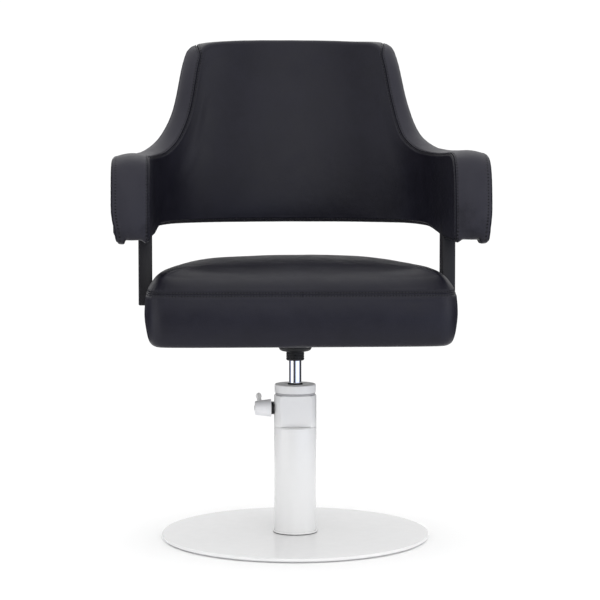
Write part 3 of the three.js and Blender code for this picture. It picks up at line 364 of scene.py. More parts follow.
# --------------------------------------------------------------- materials
class Nodes:
    """A short way to write a node tree."""

    def __init__(self, name):
        self.mat = bpy.data.materials.new(name)
        self.mat.use_nodes = True
        self.t = self.mat.node_tree
        self.t.nodes.clear()
        self.out = self.t.nodes.new("ShaderNodeOutputMaterial")
        self.bsdf = self.t.nodes.new("ShaderNodeBsdfPrincipled")
        self.link(self.bsdf.outputs[0], self.out.inputs[0])
        self.co = self.t.nodes.new("ShaderNodeTexCoord").outputs["Object"]

    def link(self, a, b):
        self.t.links.new(a, b)

    def node(self, kind, **kw):
        n = self.t.nodes.new(kind)
        for k, v in kw.items():
            setattr(n, k, v)
        return n

    def mapping(self, scale, rot=(0, 0, 0)):
        m = self.node("ShaderNodeMapping")
        m.inputs["Scale"].default_value = scale if hasattr(scale, "__len__") else (scale,) * 3
        m.inputs["Rotation"].default_value = rot
        self.link(self.co, m.inputs[0])
        return m.outputs[0]

    def noise(self, scale, detail=3, rough=0.55, vec=None, distortion=0.0):
        n = self.node("ShaderNodeTexNoise")
        n.inputs["Scale"].default_value = scale
        n.inputs["Detail"].default_value = detail
        n.inputs["Roughness"].default_value = rough
        n.inputs["Distortion"].default_value = distortion
        self.link(vec if vec is not None else self.co, n.inputs["Vector"])
        return n.outputs["Fac"]

    def voronoi(self, scale, feature="F1", vec=None, smoothness=0.4, rand=1.0):
        n = self.node("ShaderNodeTexVoronoi", feature=feature)
        n.inputs["Scale"].default_value = scale
        if "Randomness" in n.inputs:
            n.inputs["Randomness"].default_value = rand
        if feature == "SMOOTH_F1":
            n.inputs["Smoothness"].default_value = smoothness
        self.link(vec if vec is not None else self.co, n.inputs["Vector"])
        return n.outputs["Distance"]

    def math(self, op, a, b=None, c=None, clamp=False):
        n = self.node("ShaderNodeMath", operation=op, use_clamp=clamp)
        for i, v in enumerate((a, b, c)):
            if v is None:
                continue
            if isinstance(v, (int, float)):
                n.inputs[i].default_value = v
            else:
                self.link(v, n.inputs[i])
        return n.outputs[0]

    def range(self, v, a, b, c, d, smoothstep=False):
        n = self.node("ShaderNodeMapRange")
        if smoothstep:
            n.interpolation_type = "SMOOTHSTEP"
        for k, x in zip(("From Min", "From Max", "To Min", "To Max"), (a, b, c, d)):
            n.inputs[k].default_value = x
        self.link(v, n.inputs["Value"])
        return n.outputs["Result"]

    def ramp(self, fac, stops):
        n = self.node("ShaderNodeValToRGB")
        e = n.color_ramp.elements
        while len(e) > 1:
            e.remove(e[-1])
        e[0].position, e[0].color = stops[0][0], (*stops[0][1], 1)
        for p, c in stops[1:]:
            x = e.new(p)
            x.color = (*c, 1)
        self.link(fac, n.inputs["Fac"])
        return n.outputs["Color"]

    def mix(self, fac, a, b, kind="MIX"):
        n = self.node("ShaderNodeMix", data_type="RGBA", blend_type=kind)
        for sock, v in ((n.inputs[0], fac), (n.inputs[6], a), (n.inputs[7], b)):
            if isinstance(v, (int, float)):
                sock.default_value = v
            elif isinstance(v, tuple):
                sock.default_value = (*v, 1)
            else:
                self.link(v, sock)
        return n.outputs[2]

    def attr(self, name):
        n = self.node("ShaderNodeAttribute", attribute_name=name)
        n.attribute_type = "GEOMETRY"
        return n.outputs["Fac"]

    def bump(self, height, distance, strength=1.0, normal=None):
        n = self.node("ShaderNodeBump")
        n.inputs["Strength"].default_value = strength
        n.inputs["Distance"].default_value = distance
        self.link(height, n.inputs["Height"])
        if normal is not None:
            self.link(normal, n.inputs["Normal"])
        return n.outputs[0]

    def set(self, **kw):
        for k, v in kw.items():
            s = self.bsdf.inputs[k.replace("_", " ")]
            if isinstance(v, (int, float)):
                s.default_value = v
            elif isinstance(v, tuple):
                s.default_value = (*v, 1) if len(v) == 3 else v
            else:
                self.link(v, s)


STITCH = 5.2  # mm between needle holes


def leather(name, dark, light, rough=0.42, grain=1.0, stitched=True, sheen=0.0, level=0.23, low=None):
    """Fine-grained upholstery leather. dark and light bound its colour; painted shade darkens it at the needle holes
    and, when low is given, towards the bottom.
    """
    m = Nodes(name)
    broad = m.noise(9, 3, 0.6)
    cloud = m.noise(34, 4, 0.6)
    pores = m.voronoi(820, "SMOOTH_F1", smoothness=0.55)
    pores2 = m.voronoi(1500, "F1")
    creases = m.voronoi(300, "DISTANCE_TO_EDGE", vec=None)
    fine = m.noise(2400, 2, 0.6)
    tone = m.math("ADD", m.math("MULTIPLY", broad, 0.55), m.math("MULTIPLY", cloud, 0.45))
    tone = m.range(tone, 0.34, 0.68, 0, 1)
    pore_shade = m.range(pores, 0.05, 0.6, 0.25, -0.2)
    tone = m.math("ADD", tone, m.math("MULTIPLY", pore_shade, 0.5), clamp=True)
    tone = m.math("ADD", m.math("MULTIPLY", tone, 0.5), 0.5)
    if stitched:
        # painted shade: the leather's colour darkens in dots along each stitch row, 3.4 mm off the seam, one at each
        # needle hole
        hole_d, hole_u = m.attr("seam_d"), m.attr("seam_u")
        painted_hole_shade = m.math("SUBTRACT", hole_d, 3.4)
        painted_hole_shade = m.math("POWER", 2.718, m.math("MULTIPLY", m.math("MULTIPLY", painted_hole_shade, painted_hole_shade), -0.55))
        beat = m.math("COSINE", m.math("MULTIPLY", hole_u, 2 * math.pi / STITCH))
        beat = m.math("POWER", m.math("MULTIPLY", m.math("ADD", beat, 1.0), 0.5), 1.6)
        tone = m.math("SUBTRACT", tone, m.math("MULTIPLY", painted_hole_shade, m.math("MULTIPLY", beat, 0.9)))
    # painted shade: with low given as (bottom, top, depth) in metres, the colour darkens towards the bottom, by depth
    # at the bottom height and not at all above the top height
    if low:
        height = m.node("ShaderNodeSeparateXYZ")
        m.link(m.co, height.inputs[0])
        tone = m.math("SUBTRACT", tone, m.range(height.outputs["Z"], low[0], low[1], low[2], 0.0, True))
    tone = m.math("MAXIMUM", tone, 0.0)
    # the near-black end of the ramp is reached only through the painted shade of the needle holes and of the lower part
    m.set(Base_Color=m.ramp(tone, [(0, (0.002, 0.002, 0.003)), (0.5, dark), (1, light)]))
    r = m.range(m.math("ADD", cloud, m.math("MULTIPLY", pores, 0.35)), 0.35, 0.95, rough - 0.07, rough + 0.09)
    m.set(Roughness=r)
    m.set(Specular_IOR_Level=level, Specular_Tint=(0.93, 0.93, 1.0, 1.0))
    if sheen:
        m.set(Sheen_Weight=sheen)
        m.set(Sheen_Roughness=0.45)
        m.set(Sheen_Tint=(0.75, 0.76, 0.9))
    h = m.math("ADD", m.math("MULTIPLY", m.range(pores, 0.0, 0.75, 0, 1), -0.65), m.math("MULTIPLY", pores2, -0.2))
    h = m.math("ADD", h, m.math("MULTIPLY", m.range(creases, 0.0, 0.09, 0, 1, True), 0.35))
    h = m.math("ADD", h, m.math("MULTIPLY", fine, 0.12))
    normal = m.bump(h, 0.00012 * grain, 0.55)
    soft = m.noise(70, 3, 0.5)
    normal = m.bump(soft, 0.0009, 0.35, normal)
    if stitched:
        # the needle draws the leather down at each stitch
        d, u = m.attr("seam_d"), m.attr("seam_u")
        row = m.math("SUBTRACT", d, 3.4)
        row = m.math("MULTIPLY", row, row)
        row = m.math("POWER", 2.718, m.math("MULTIPLY", row, -0.42))
        wave = m.math("COSINE", m.math("MULTIPLY", u, 2 * math.pi / STITCH))
        wave = m.math("MULTIPLY", m.math("ADD", wave, 1.0), 0.5)
        dip = m.math("MULTIPLY", m.math("MULTIPLY", row, m.math("POWER", wave, 3.0)), -1.0)
        normal = m.bump(dip, 0.0008, 0.9, normal)
    m.set(Normal=normal)
    return m.mat


LEATHER = leather("leather_charcoal", (0.0068, 0.0065, 0.0108), (0.0100, 0.0096, 0.0160), 0.36, level=0.235)
LEATHER_SEAT = leather("leather_seat", (0.0062, 0.0059, 0.0098), (0.0090, 0.0087, 0.0144), 0.37, level=0.185)
# painted light and shade: the arm bands get a copy of the charcoal leather about four times lighter, standing in for
# the light on the arm fronts, and darker towards their lower ends
LEATHER_BAND_PAINTED_LIGHT_AND_SHADE = leather("leather_band_painted_light_and_shade", (0.0250, 0.0243, 0.0315), (0.0305, 0.0297, 0.0375), 0.40, level=0.14, low=(0.545, 0.650, 0.34))
LEATHER_UNDER = leather("leather_under", (0.006, 0.006, 0.008), (0.009, 0.009, 0.012), 0.55)


def thread_material():
    m = Nodes("thread_black")
    twist = m.noise(1500, 2, 0.5, vec=m.mapping((1, 1, 2.2), (0.5, 0.3, 0)))
    m.set(Base_Color=m.ramp(twist, [(0.3, (0.008, 0.008, 0.010)), (0.7, (0.020, 0.020, 0.026))]))
    m.set(Roughness=m.range(twist, 0.3, 0.7, 0.42, 0.62), Specular_IOR_Level=0.4)
    m.set(Normal=m.bump(twist, 0.00012, 0.6))
    return m.mat


THREAD = thread_material()


def paint(name, dark, light, rough, peel=1.0, coat=0.0, grit=0.0, metallic=0.0, level=0.5):
    """Powder-coated or lacquered metal with a light orange peel."""
    m = Nodes(name)
    broad = m.noise(6, 3, 0.55)
    peel_n = m.noise(420, 2, 0.45)
    fine = m.noise(1800, 2, 0.5)
    wear = m.noise(55, 5, 0.65)
    tone = m.math("ADD", m.math("MULTIPLY", broad, 0.6), m.math("MULTIPLY", wear, 0.4))
    m.set(Base_Color=m.ramp(m.range(tone, 0.33, 0.66, 0, 1), [(0, dark), (1, light)]))
    m.set(Roughness=m.range(m.math("ADD", m.math("MULTIPLY", wear, 0.7), m.math("MULTIPLY", fine, 0.3)), 0.3, 0.7, rough - 0.02, rough + 0.03))
    m.set(Metallic=metallic, Specular_IOR_Level=level)
    if coat:
        m.set(Coat_Weight=coat, Coat_Roughness=0.08)
    h = m.math("ADD", m.math("MULTIPLY", peel_n, 0.7), m.math("MULTIPLY", fine, 0.3))
    normal = m.bump(h, 0.00006 * peel, 0.5)
    if grit:
        g = m.voronoi(900, "SMOOTH_F1", smoothness=0.3)
        normal = m.bump(g, 0.0003 * grit, 0.7, normal)
    m.set(Normal=normal)
    return m.mat


WHITE = paint("white_paint", (0.79, 0.79, 0.79), (0.81, 0.81, 0.81), 0.22, 0.5, coat=0.3)
# painted shade: the floor plate gets a slightly darker copy of the column's white paint, toning down the light it
# catches
WHITE_PAINT_PLATE_SHADED = paint("white_paint_plate_painted_shade", (0.765, 0.765, 0.77), (0.785, 0.785, 0.79), 0.2, 0.5, coat=0.3)
WHITE_CAST = paint("white_paint_cast", (0.79, 0.79, 0.79), (0.83, 0.83, 0.83), 0.36, 1.6, grit=0.35)
WHITE_HAMMER = paint("white_paint_hammer", (0.77, 0.77, 0.78), (0.90, 0.90, 0.91), 0.34, 3.0, grit=1.1)
BLACK = paint("black_satin", (0.0065, 0.0062, 0.0085), (0.010, 0.0096, 0.0125), 0.36, 1.5, level=0.28)
BLACK_CAST = paint("black_cast", (0.005, 0.005, 0.006), (0.009, 0.009, 0.0105), 0.45, 2.0, grit=0.4, level=0.3)


def metal(name, dark, light, rough, stretch=(1, 1, 1), lines=0.0, scale=300):
    m = Nodes(name)
    vec = m.mapping(stretch)
    n = m.noise(scale, 4, 0.6, vec=vec)
    smear = m.noise(40, 3, 0.5)
    m.set(Base_Color=m.ramp(m.math("ADD", m.math("MULTIPLY", n, 0.5), m.math("MULTIPLY", smear, 0.5)), [(0.35, dark), (0.65, light)]))
    m.set(Metallic=1.0)
    m.set(Roughness=m.range(m.math("ADD", m.math("MULTIPLY", n, 0.6), m.math("MULTIPLY", smear, 0.4)), 0.3, 0.7, max(rough - 0.04, 0.02), rough + 0.05))
    if lines:
        m.set(Normal=m.bump(n, 0.00003 * lines, 0.5))
    return m.mat


CHROME = metal("chrome_rod", (0.82, 0.84, 0.90), (0.90, 0.92, 0.96), 0.06, (1, 1, 12), 0.12, 220)
STEEL = metal("steel_zinc", (0.46, 0.46, 0.47), (0.62, 0.62, 0.63), 0.34, (1, 1, 1), 1.0, 500)
BRONZE = metal("bronze_sinter", (0.42, 0.27, 0.11), (0.58, 0.40, 0.18), 0.42, (1, 1, 1), 1.0, 700)


def rubber_material(name="rubber_black"):
    m = Nodes(name)
    n = m.noise(600, 3, 0.6)
    d = m.noise(30, 4, 0.6)
    m.set(Base_Color=m.ramp(d, [(0.3, (0.012, 0.012, 0.012)), (0.7, (0.026, 0.026, 0.027))]))
    m.set(Roughness=m.range(d, 0.3, 0.7, 0.68, 0.85), Specular_IOR_Level=0.35)
    m.set(Normal=m.bump(n, 0.0001, 0.6))
    return m.mat


RUBBER = rubber_material()


def grey_rubber(name="rubber_grey_gap_shade", dark=(0.34, 0.34, 0.35), light=(0.42, 0.42, 0.43)):
    m = Nodes(name)
    n = m.noise(500, 3, 0.6)
    m.set(Base_Color=m.ramp(n, [(0.3, dark), (0.7, light)]))
    m.set(Roughness=m.range(n, 0.3, 0.7, 0.6, 0.75))
    m.set(Normal=m.bump(n, 0.0001, 0.5))
    return m.mat


# painted shade: a mid grey for the head seal, standing in for the soft shade in the gap between the cap and the head
GAP_SHADE_GREY_RUBBER = grey_rubber()
CLEAR_RUBBER = grey_rubber("rubber_pale", (0.58, 0.58, 0.59), (0.66, 0.66, 0.67))


def ply_material():
    m = Nodes("plywood")
    plies = m.node("ShaderNodeTexWave", wave_type="BANDS", bands_direction="Z")
    plies.inputs["Scale"].default_value = 110
    plies.inputs["Distortion"].default_value = 1.2
    m.link(m.co, plies.inputs["Vector"])
    grain = m.noise(60, 6, 0.65, vec=m.mapping((1, 0.08, 1)))
    tone = m.math("ADD", m.math("MULTIPLY", plies.outputs["Fac"], 0.35), m.math("MULTIPLY", grain, 0.65))
    m.set(Base_Color=m.ramp(tone, [(0.25, (0.30, 0.17, 0.075)), (0.7, (0.56, 0.37, 0.19))]))
    m.set(Roughness=m.range(grain, 0.3, 0.7, 0.55, 0.8))
    m.set(Normal=m.bump(grain, 0.0003, 0.5))
    return m.mat


def foam_material():
    m = Nodes("foam")
    cells = m.voronoi(520, "DISTANCE_TO_EDGE")
    tone = m.noise(20, 4, 0.6)
    m.set(Base_Color=m.ramp(tone, [(0.3, (0.60, 0.54, 0.38)), (0.7, (0.70, 0.65, 0.49))]))
    m.set(Roughness=m.range(tone, 0.3, 0.7, 0.86, 0.97))
    m.set(Normal=m.bump(m.range(cells, 0, 0.25, 0, 1), 0.0005, 0.8))
    return m.mat


PLY = ply_material()
FOAM = foam_material()


def fabric_material():
    """Black non-woven dust cloth."""
    m = Nodes("dust_cloth")
    fibre = m.noise(900, 5, 0.7, vec=m.mapping((1, 0.25, 1)))
    fibre2 = m.noise(900, 5, 0.7, vec=m.mapping((0.25, 1, 1)))
    dots = m.voronoi(420, "F1", rand=0.15)
    f = m.math("MAXIMUM", fibre, fibre2)
    m.set(Base_Color=m.ramp(m.math("SUBTRACT", f, m.math("MULTIPLY", m.range(dots, 0, 0.4, 1, 0), 0.15)), [(0.3, (0.008, 0.008, 0.009)), (0.75, (0.024, 0.024, 0.026))]))
    m.set(Roughness=m.range(f, 0.3, 0.75, 0.8, 0.98), Specular_IOR_Level=0.2)
    m.set(Normal=m.bump(m.math("SUBTRACT", f, m.math("MULTIPLY", m.range(dots, 0, 0.4, 1, 0), 0.4)), 0.0003, 0.7))
    return m.mat


DUST = fabric_material()

# ============================================================ wraparound shell
SHELL_A, SHELL_N = 254.5, 2.3
C_EXP = 2 / SHELL_N
ER = 8.0  # radius of the upholstered edges


def shell_depth(z):
    return 205 + (z - 560) * 0.147


REF_B = shell_depth(690)
_phi = np.linspace(0, math.pi / 2, 8001)
_x = SHELL_A * np.sin(_phi) ** C_EXP
_y = REF_B * np.clip(np.cos(_phi), 0, None) ** C_EXP
_len = np.concatenate([[0], np.cumsum(np.hypot(np.diff(_x), np.diff(_y)))])
S_ARM = float(_len[-1])


def s_of_x(x):
    return float(np.interp(math.asin((x / SHELL_A) ** (1 / C_EXP)), _phi, _len))


def s_of_y(y):
    return float(np.interp(math.acos((y / REF_B) ** (1 / C_EXP)), _phi, _len))


def plan(s, z):
    q, m = np.where(s < 0, -1.0, 1.0), np.abs(s)
    phi = np.interp(np.minimum(m, S_ARM), _len, _phi)
    x = np.where(m > S_ARM, SHELL_A, SHELL_A * np.sin(phi) ** C_EXP)
    y = np.where(m > S_ARM, S_ARM - m, shell_depth(z) * np.clip(np.cos(phi), 0, None) ** C_EXP)
    return q * x, y


def plan_normal(s, z):
    ax, ay = plan(s - 6, z)
    bx, by = plan(s + 6, z)
    dx, dy = bx - ax, by - ay
    l = np.hypot(dx, dy)
    return -dy / l, dx / l


def thick(s):
    return lerp(55.0, 65.5, smooth(S_ARM - 190, S_ARM + 20, np.abs(s)))


def shell_point(s, z, t):
    """Point at depth t behind the inner face, at s along it and height z."""
    x, y = plan(s, z)
    nx, ny = plan_normal(s, z)
    drop = 1.5 * (t / thick(s)) * smooth(S_ARM - 120, S_ARM, np.abs(s)) * smooth(610, 690, z)
    X, Y = x + nx * t, y + ny * t
    # made by hand: the back's right side stands a little fuller than the left
    X = X + 7.0 * smooth(40, 150, X) * smooth(700, 772, z)
    # the arms draw in towards their lower front ends
    k = np.clip(t / thick(s), 0, 1)
    tuck = smooth(606, 541, z) ** 1.5 * smooth(-120, -190, Y) * smooth(0.35, 0.95, k)
    X = X - np.sign(X) * np.where(X < 0, 9.0, 5.0) * tuck
    lift = 5.5 * smooth(120, 210, X) * smooth(632, 682, z)
    return np.stack([X, Y, z - drop + lift], -1)


TOP_RAW = [
    ("x", 0, 903), ("x", 60, 902.4), ("x", 105, 900.6), ("x", 138, 897.6), ("x", 154, 892.5), ("x", 163.5, 883),
    ("x", 168.5, 868), ("x", 173, 848), ("x", 177.6, 820), ("x", 182, 793), ("x", 188, 765), ("x", 197, 738.5),
    ("x", 210.5, 712), ("x", 228, 693.5), ("x", 244, 686.8),
    ("y", 10, 685.2), ("y", -60, 685.8), ("y", -130, 687), ("y", -174, 686.6), ("y", -202, 682.2), ("y", -221, 672),
    ("y", -233, 655), ("y", -239, 632), ("y", -242, 600), ("y", -243, 572),
    ("y", -242.6, 560), ("y", -240, 551.5), ("y", -235, 547),
]


def bottom_z(s):
    return lerp(558.5, 545.8, smooth(S_ARM * 0.55, S_ARM + 90, np.abs(s)))


_top = []
for kind, v, z in TOP_RAW:
    if kind == "x":
        _top.append((s_of_x(v), z))
    elif v >= 0:
        _top.append((s_of_y(v), z))
    else:
        _top.append((S_ARM - v, z))
_top = catmull(_top, 24)
_bs = np.linspace(0, S_ARM + 226, 500)
_bottom = np.stack([_bs, bottom_z(_bs)], 1)
CORNER = _top[-1].copy()
_right = np.vstack([_top, _bottom[::-1]])
_left = _right[::-1] * np.array([-1, 1])
_loop = np.vstack([_right, _left[1:-1]])
_total = arc_length(_loop, True)[-1]
_n = int(round(_total))
_loop = resample(_loop, np.arange(_n) * _total / _n, True)
_loop = blur_closed(_loop, 4.0)
_tan = np.roll(_loop, -1, 0) - np.roll(_loop, 1, 0)
_tan /= np.linalg.norm(_tan, axis=1)[:, None]
_in = np.stack([_tan[:, 1], -_tan[:, 0]], 1)
_in = blur_closed(_in, 16.0)
_in /= np.linalg.norm(_in, axis=1)[:, None]
_la = arc_length(_loop, True)
_TOTAL = _la[-1]


def _at(array, u):
    u = np.mod(u, _TOTAL)
    q = np.vstack([array, array[:1]])
    return np.stack([np.interp(u, _la, q[:, c]) for c in range(array.shape[1])], -1)


# arc length of the corner, starting from the top centre
_iC = int(np.argmin(np.linalg.norm(_loop - CORNER, axis=1)))
U_CORNER = float(_la[_iC])
U_BOTTOM = _TOTAL / 2
N_HALF, N_ROW = 220, 56
# sample places along the top side, closer where the outline bends
_du = np.linspace(0, U_CORNER, 4000)
_p = _at(_loop, _du)
_th = np.unwrap(np.arctan2(np.gradient(_p[:, 1]), np.gradient(_p[:, 0])))
_wt = 1 + np.minimum(1.6, 30 * np.abs(np.gradient(_th, _du)))
_cum = np.concatenate([[0], np.cumsum((_wt[1:] + _wt[:-1]) / 2 * np.diff(_du))])
U_TOP = np.interp(np.linspace(0, _cum[-1], N_HALF + 1), _cum, _du)
_pt = _at(_loop, U_TOP)
_w = np.concatenate([[0], np.cumsum(np.abs(np.diff(_pt[:, 0])) + 0.35 * np.abs(np.diff(_pt[:, 1])))])
U_BOT = U_BOTTOM - (U_BOTTOM - U_CORNER) * _w / _w[-1]
# the loop, clockwise seen from the seat: left corner, over the top, right
# corner, back along the bottom
LOOP_U = np.concatenate([-U_TOP[:0:-1], U_TOP, U_BOT[-2:0:-1], (U_BOTTOM * 2 - U_BOT)[: N_HALF]])
N_COL = 2 * N_HALF
KL = len(LOOP_U)
assert KL == 2 * N_COL, (KL, N_COL)
LOOP_P = _at(_loop, LOOP_U)
LOOP_IN = _at(_in, LOOP_U)
LOOP_IN /= np.linalg.norm(LOOP_IN, axis=1)[:, None]
THICK = thick(LOOP_P[:, 0])
BULGE_TOP = 4.0

# the edge's cross-section, by arc length w from where the inner face ends
L1 = math.pi / 2 * ER


def section(w, T, bulge):
    """(e, t, ne, nt) at arc length w round the edge; T and bulge per point."""
    B = T - 2 * ER
    a1 = np.clip(w, 0, L1) / ER
    on2 = np.clip(w - L1 - B, 0, L1) / ER
    u = np.clip((w - L1) / B, 0, 1)
    inner, band, arc2 = w <= L1, (w > L1) & (w < L1 + B), w >= L1 + B
    e = np.where(inner, ER - ER * np.sin(a1), np.where(band, 0.0, ER - ER * np.cos(on2)))
    t = np.where(inner, ER - ER * np.cos(a1), np.where(band, w - L1 + ER, T - ER + ER * np.sin(on2)))
    e = e + np.clip(-w, 0, None) + np.clip(w - 2 * L1 - B, 0, None)
    e = e - bulge * 4 * u * (1 - u)
    ne = np.where(inner, -np.sin(a1), np.where(band, -1.0, -np.cos(on2)))
    nt = np.where(inner, -np.cos(a1), np.where(band, 0.0, np.sin(on2)))
    return e, t, ne, nt


W_IN = math.radians(47) * ER  # inner seam


def w_out(T):
    return L1 + T - 2 * ER + 0.56 * L1  # outer seam, round the corner


TOPSTITCH = 7.4  # of the outer seam, on the band


# the side bands taper out round the top corners
_cs, _ce = (s_of_x(149), 895.0), (s_of_x(169), 866.0)
_rt = _at(_loop, U_TOP)
U_TAPER0 = float(U_TOP[np.argmin(np.hypot(_rt[:, 0] - _cs[0], _rt[:, 1] - _cs[1]))])
U_TAPER1 = float(U_TOP[np.argmin(np.hypot(_rt[:, 0] - _ce[0], _rt[:, 1] - _ce[1]))])


def u_side(u):
    """Arc length from the top centre, the same on both sides."""
    v = np.mod(u, _TOTAL)
    return np.minimum(v, _TOTAL - v)


def w_seam(u, T):
    k = np.clip((u_side(u) - U_TAPER0) / (U_TAPER1 - U_TAPER0), 0, 1)
    k = np.sin(k * math.pi / 2) ** 0.9
    return lerp(w_out(T), W_IN, k)


def seam_slope(u, T):
    return (w_seam(u + 0.5, T) - w_seam(u - 0.5, T)) / 1.0


def seam_relief(d, stitch=3.4):
    """Height over the padded surface at distance d mm from a seam."""
    return (
        -2.6 * np.exp(-((d / 0.75) ** 2))
        + 0.45 * gauss(d, 1.75, 0.85)
        - 0.55 * gauss(d, stitch, 0.85)
        + 0.25 * gauss(d, 6.5, 2.6)
        - 0.9 * np.exp(-d / 8.0)
    )


def soft_relief(p, amount=1.0):
    """Slow unevenness of leather over foam, in mm."""
    return amount * (0.55 * vnoise(p, 95, 3) + 0.28 * vnoise(p, 41, 5) + 0.10 * vnoise(p, 17, 9))


def pucker(p, d, u, amount=1.0):
    """Short gathers that run away from a seam."""
    wave = np.sin(u * 2 * math.pi / 13.0 + 1.7 * vnoise(p, 30, 21)) * (0.5 + 0.5 * vnoise(p, 60, 22))
    return amount * 0.22 * wave * np.exp(-np.abs(d - 5.5) / 5.0)


SEAM_D = np.array([0, 0.3, 0.6, 0.95, 1.35, 1.8, 2.3, 2.85, 3.4, 3.95, 4.6, 5.5, 6.8, 8.5])
W0 = 14.0  # width of the rows on the faces before the inner grid


def bulge_at(u):
    """How far the padding crowns between the edges, round the outline."""
    top = smooth(U_TAPER0 - 30, U_TAPER1 + 60, u_side(u))
    return lerp(0.2 + (BULGE_TOP - 0.2) * top, 0.6, smooth(U_CORNER - 12, U_CORNER + 12, u_side(u)))


RIGHT_FIRST = bool(_at(_loop, np.array([_TOTAL * 0.25]))[0, 0] > 0)


def bottom_arch(u, T, t):
    """Under each arm the cover hangs as two ears, drawn up between them."""
    du = u_side(u) - U_CORNER
    k = np.clip(t / T, 0, 1)
    front = np.exp(-(np.clip(du, -60, 0) / 15.0) ** 2) * (1 - smooth(26, 60, du))
    back = np.exp(-(np.clip(du, -60, 0) / 15.0) ** 2) * (1 - smooth(120, 215, du))
    outer_ear = -7.5 * smooth(0.70, 0.78, k) * front
    inner_ear = -6.0 * (1 - smooth(0.10, 0.26, k)) * back
    # the leather gathers lower behind the posts, more so on the left
    v = np.mod(u, _TOTAL)
    right = (v < _TOTAL / 2) == RIGHT_FIRST
    lobe = np.where(right, 4.5 * smooth(120, 225, du) * (1 - smooth(258, 330, du)), 13.0 * smooth(150, 238, du) * (1 - smooth(286, 332, du)))
    return outer_ear + inner_ear - lobe * (1 - smooth(0.16, 0.42, k))


def low_pad(s, z, edge):
    """Padding that stands out over the lower edge of the inside of the back."""
    full = 11.5 * (1 - np.exp(-np.clip(edge - 3.0, 0, None) / 38.0))
    return full * np.exp(-((s / 180.0) ** 4)) * (1 - smooth(640, 862, z))


def edge_rows(kind, cols):
    """Vertices of the seam rows of one piece. Returns positions (rows, cols, 3), d and u."""
    u = LOOP_U[cols][None, :]
    P, N, T = LOOP_P[cols][None], LOOP_IN[cols][None], THICK[cols][None]
    ws, wo = w_seam(u, T), w_out(T)
    slope = 1 / np.sqrt(1 + seam_slope(u, T) ** 2)
    if kind == "inner":
        # seam first, then inwards to the face
        length = ws + W0
        rest = np.linspace(0, 1, 25)[1:, None]
        near = SEAM_D[:, None] + 0 * u
        far = SEAM_D[-1] + (length - SEAM_D[-1]) * rest
        dist = np.vstack([near, far])
        w = ws - dist
        d = dist * slope
        other = None
    elif kind == "outer":
        length = (L1 * 2 + T - 2 * ER + W0) - wo
        rest = np.linspace(0, 1, 15)[1:, None]
        near = SEAM_D[:, None] + 0 * u
        far = SEAM_D[-1] + (length - SEAM_D[-1]) * rest
        dist = np.vstack([near, far])
        w = wo + dist
        d = dist
    else:
        width = np.maximum(wo - ws, 0.6)
        half = width / 2
        k = np.minimum(1.0, half / (SEAM_D[-1] + 4))
        near = SEAM_D[:, None] * k
        mid_n = 14
        mid = near[-1:] + (width - 2 * near[-1:]) * np.linspace(0, 1, mid_n + 2)[1:-1, None]
        dist = np.vstack([near, mid, (width - near)[::-1]])
        w = ws + dist
        d = np.minimum(dist * slope, width - dist)
    bulge = bulge_at(u)
    e, t, ne, nt = section(w, T + 0 * w, bulge + 0 * w)
    sz = P[..., :] + N * e[..., None]
    base = shell_point(sz[..., 0], sz[..., 1], t)
    flatp = base.reshape(-1, 3)
    uu = (u + 0 * w)
    h = seam_relief(d)
    if kind == "band":
        to_out = width - dist
        nearer = to_out < dist * slope
        h = np.where(nearer, seam_relief(to_out, TOPSTITCH), h)
        d = np.where(nearer & (to_out > 1.5), np.abs(to_out - TOPSTITCH) + 3.4, d)
    dd = dist if kind != "band" else np.minimum(dist * slope, width - dist)
    h = h + soft_relief(flatp, 0.8).reshape(w.shape) * smooth(2, 14, dd)
    h = h + pucker(flatp, dd.ravel(), uu.ravel()).reshape(w.shape)
    e2, t2 = e + ne * h, t + nt * h
    if kind == "inner":
        t2 = t2 - low_pad(sz[..., 0], sz[..., 1], e) * (1 - smooth(600, 640, P[..., 1]))
    sz = P + N * e2[..., None]
    pos = shell_point(sz[..., 0], sz[..., 1], t2)
    pos[..., 2] += bottom_arch(u, T, t2)
    return pos, d, uu


def face_grid(side):
    """The inner grid of a face, from the last seam row's corners inwards."""
    e = ER + W0
    i = np.arange(1, N_COL)
    b, t = (KL - i) % KL, i
    pb = LOOP_P[b] + LOOP_IN[b] * e
    pt = LOOP_P[t] + LOOP_IN[t] * e
    k = (np.arange(1, N_ROW) / N_ROW)[None, :, None]
    sz = pb[:, None] * (1 - k) + pt[:, None] * k
    s, z = sz[..., 0], sz[..., 1]
    T = thick(s)
    base = shell_point(s, z, np.zeros_like(s) if side == "inner" else T)
    h = soft_relief(base.reshape(-1, 3), 0.8).reshape(s.shape)
    if side == "inner":
        # the padding stands prouder low in the back
        low = np.linalg.norm(sz - pb[:, None], axis=-1) + e
        high = np.linalg.norm(pt[:, None] - sz, axis=-1)
        h = h + low_pad(s, z, low) * smooth(0, 80, high)
    t = -h if side == "inner" else T + h
    return shell_point(s, z, t)


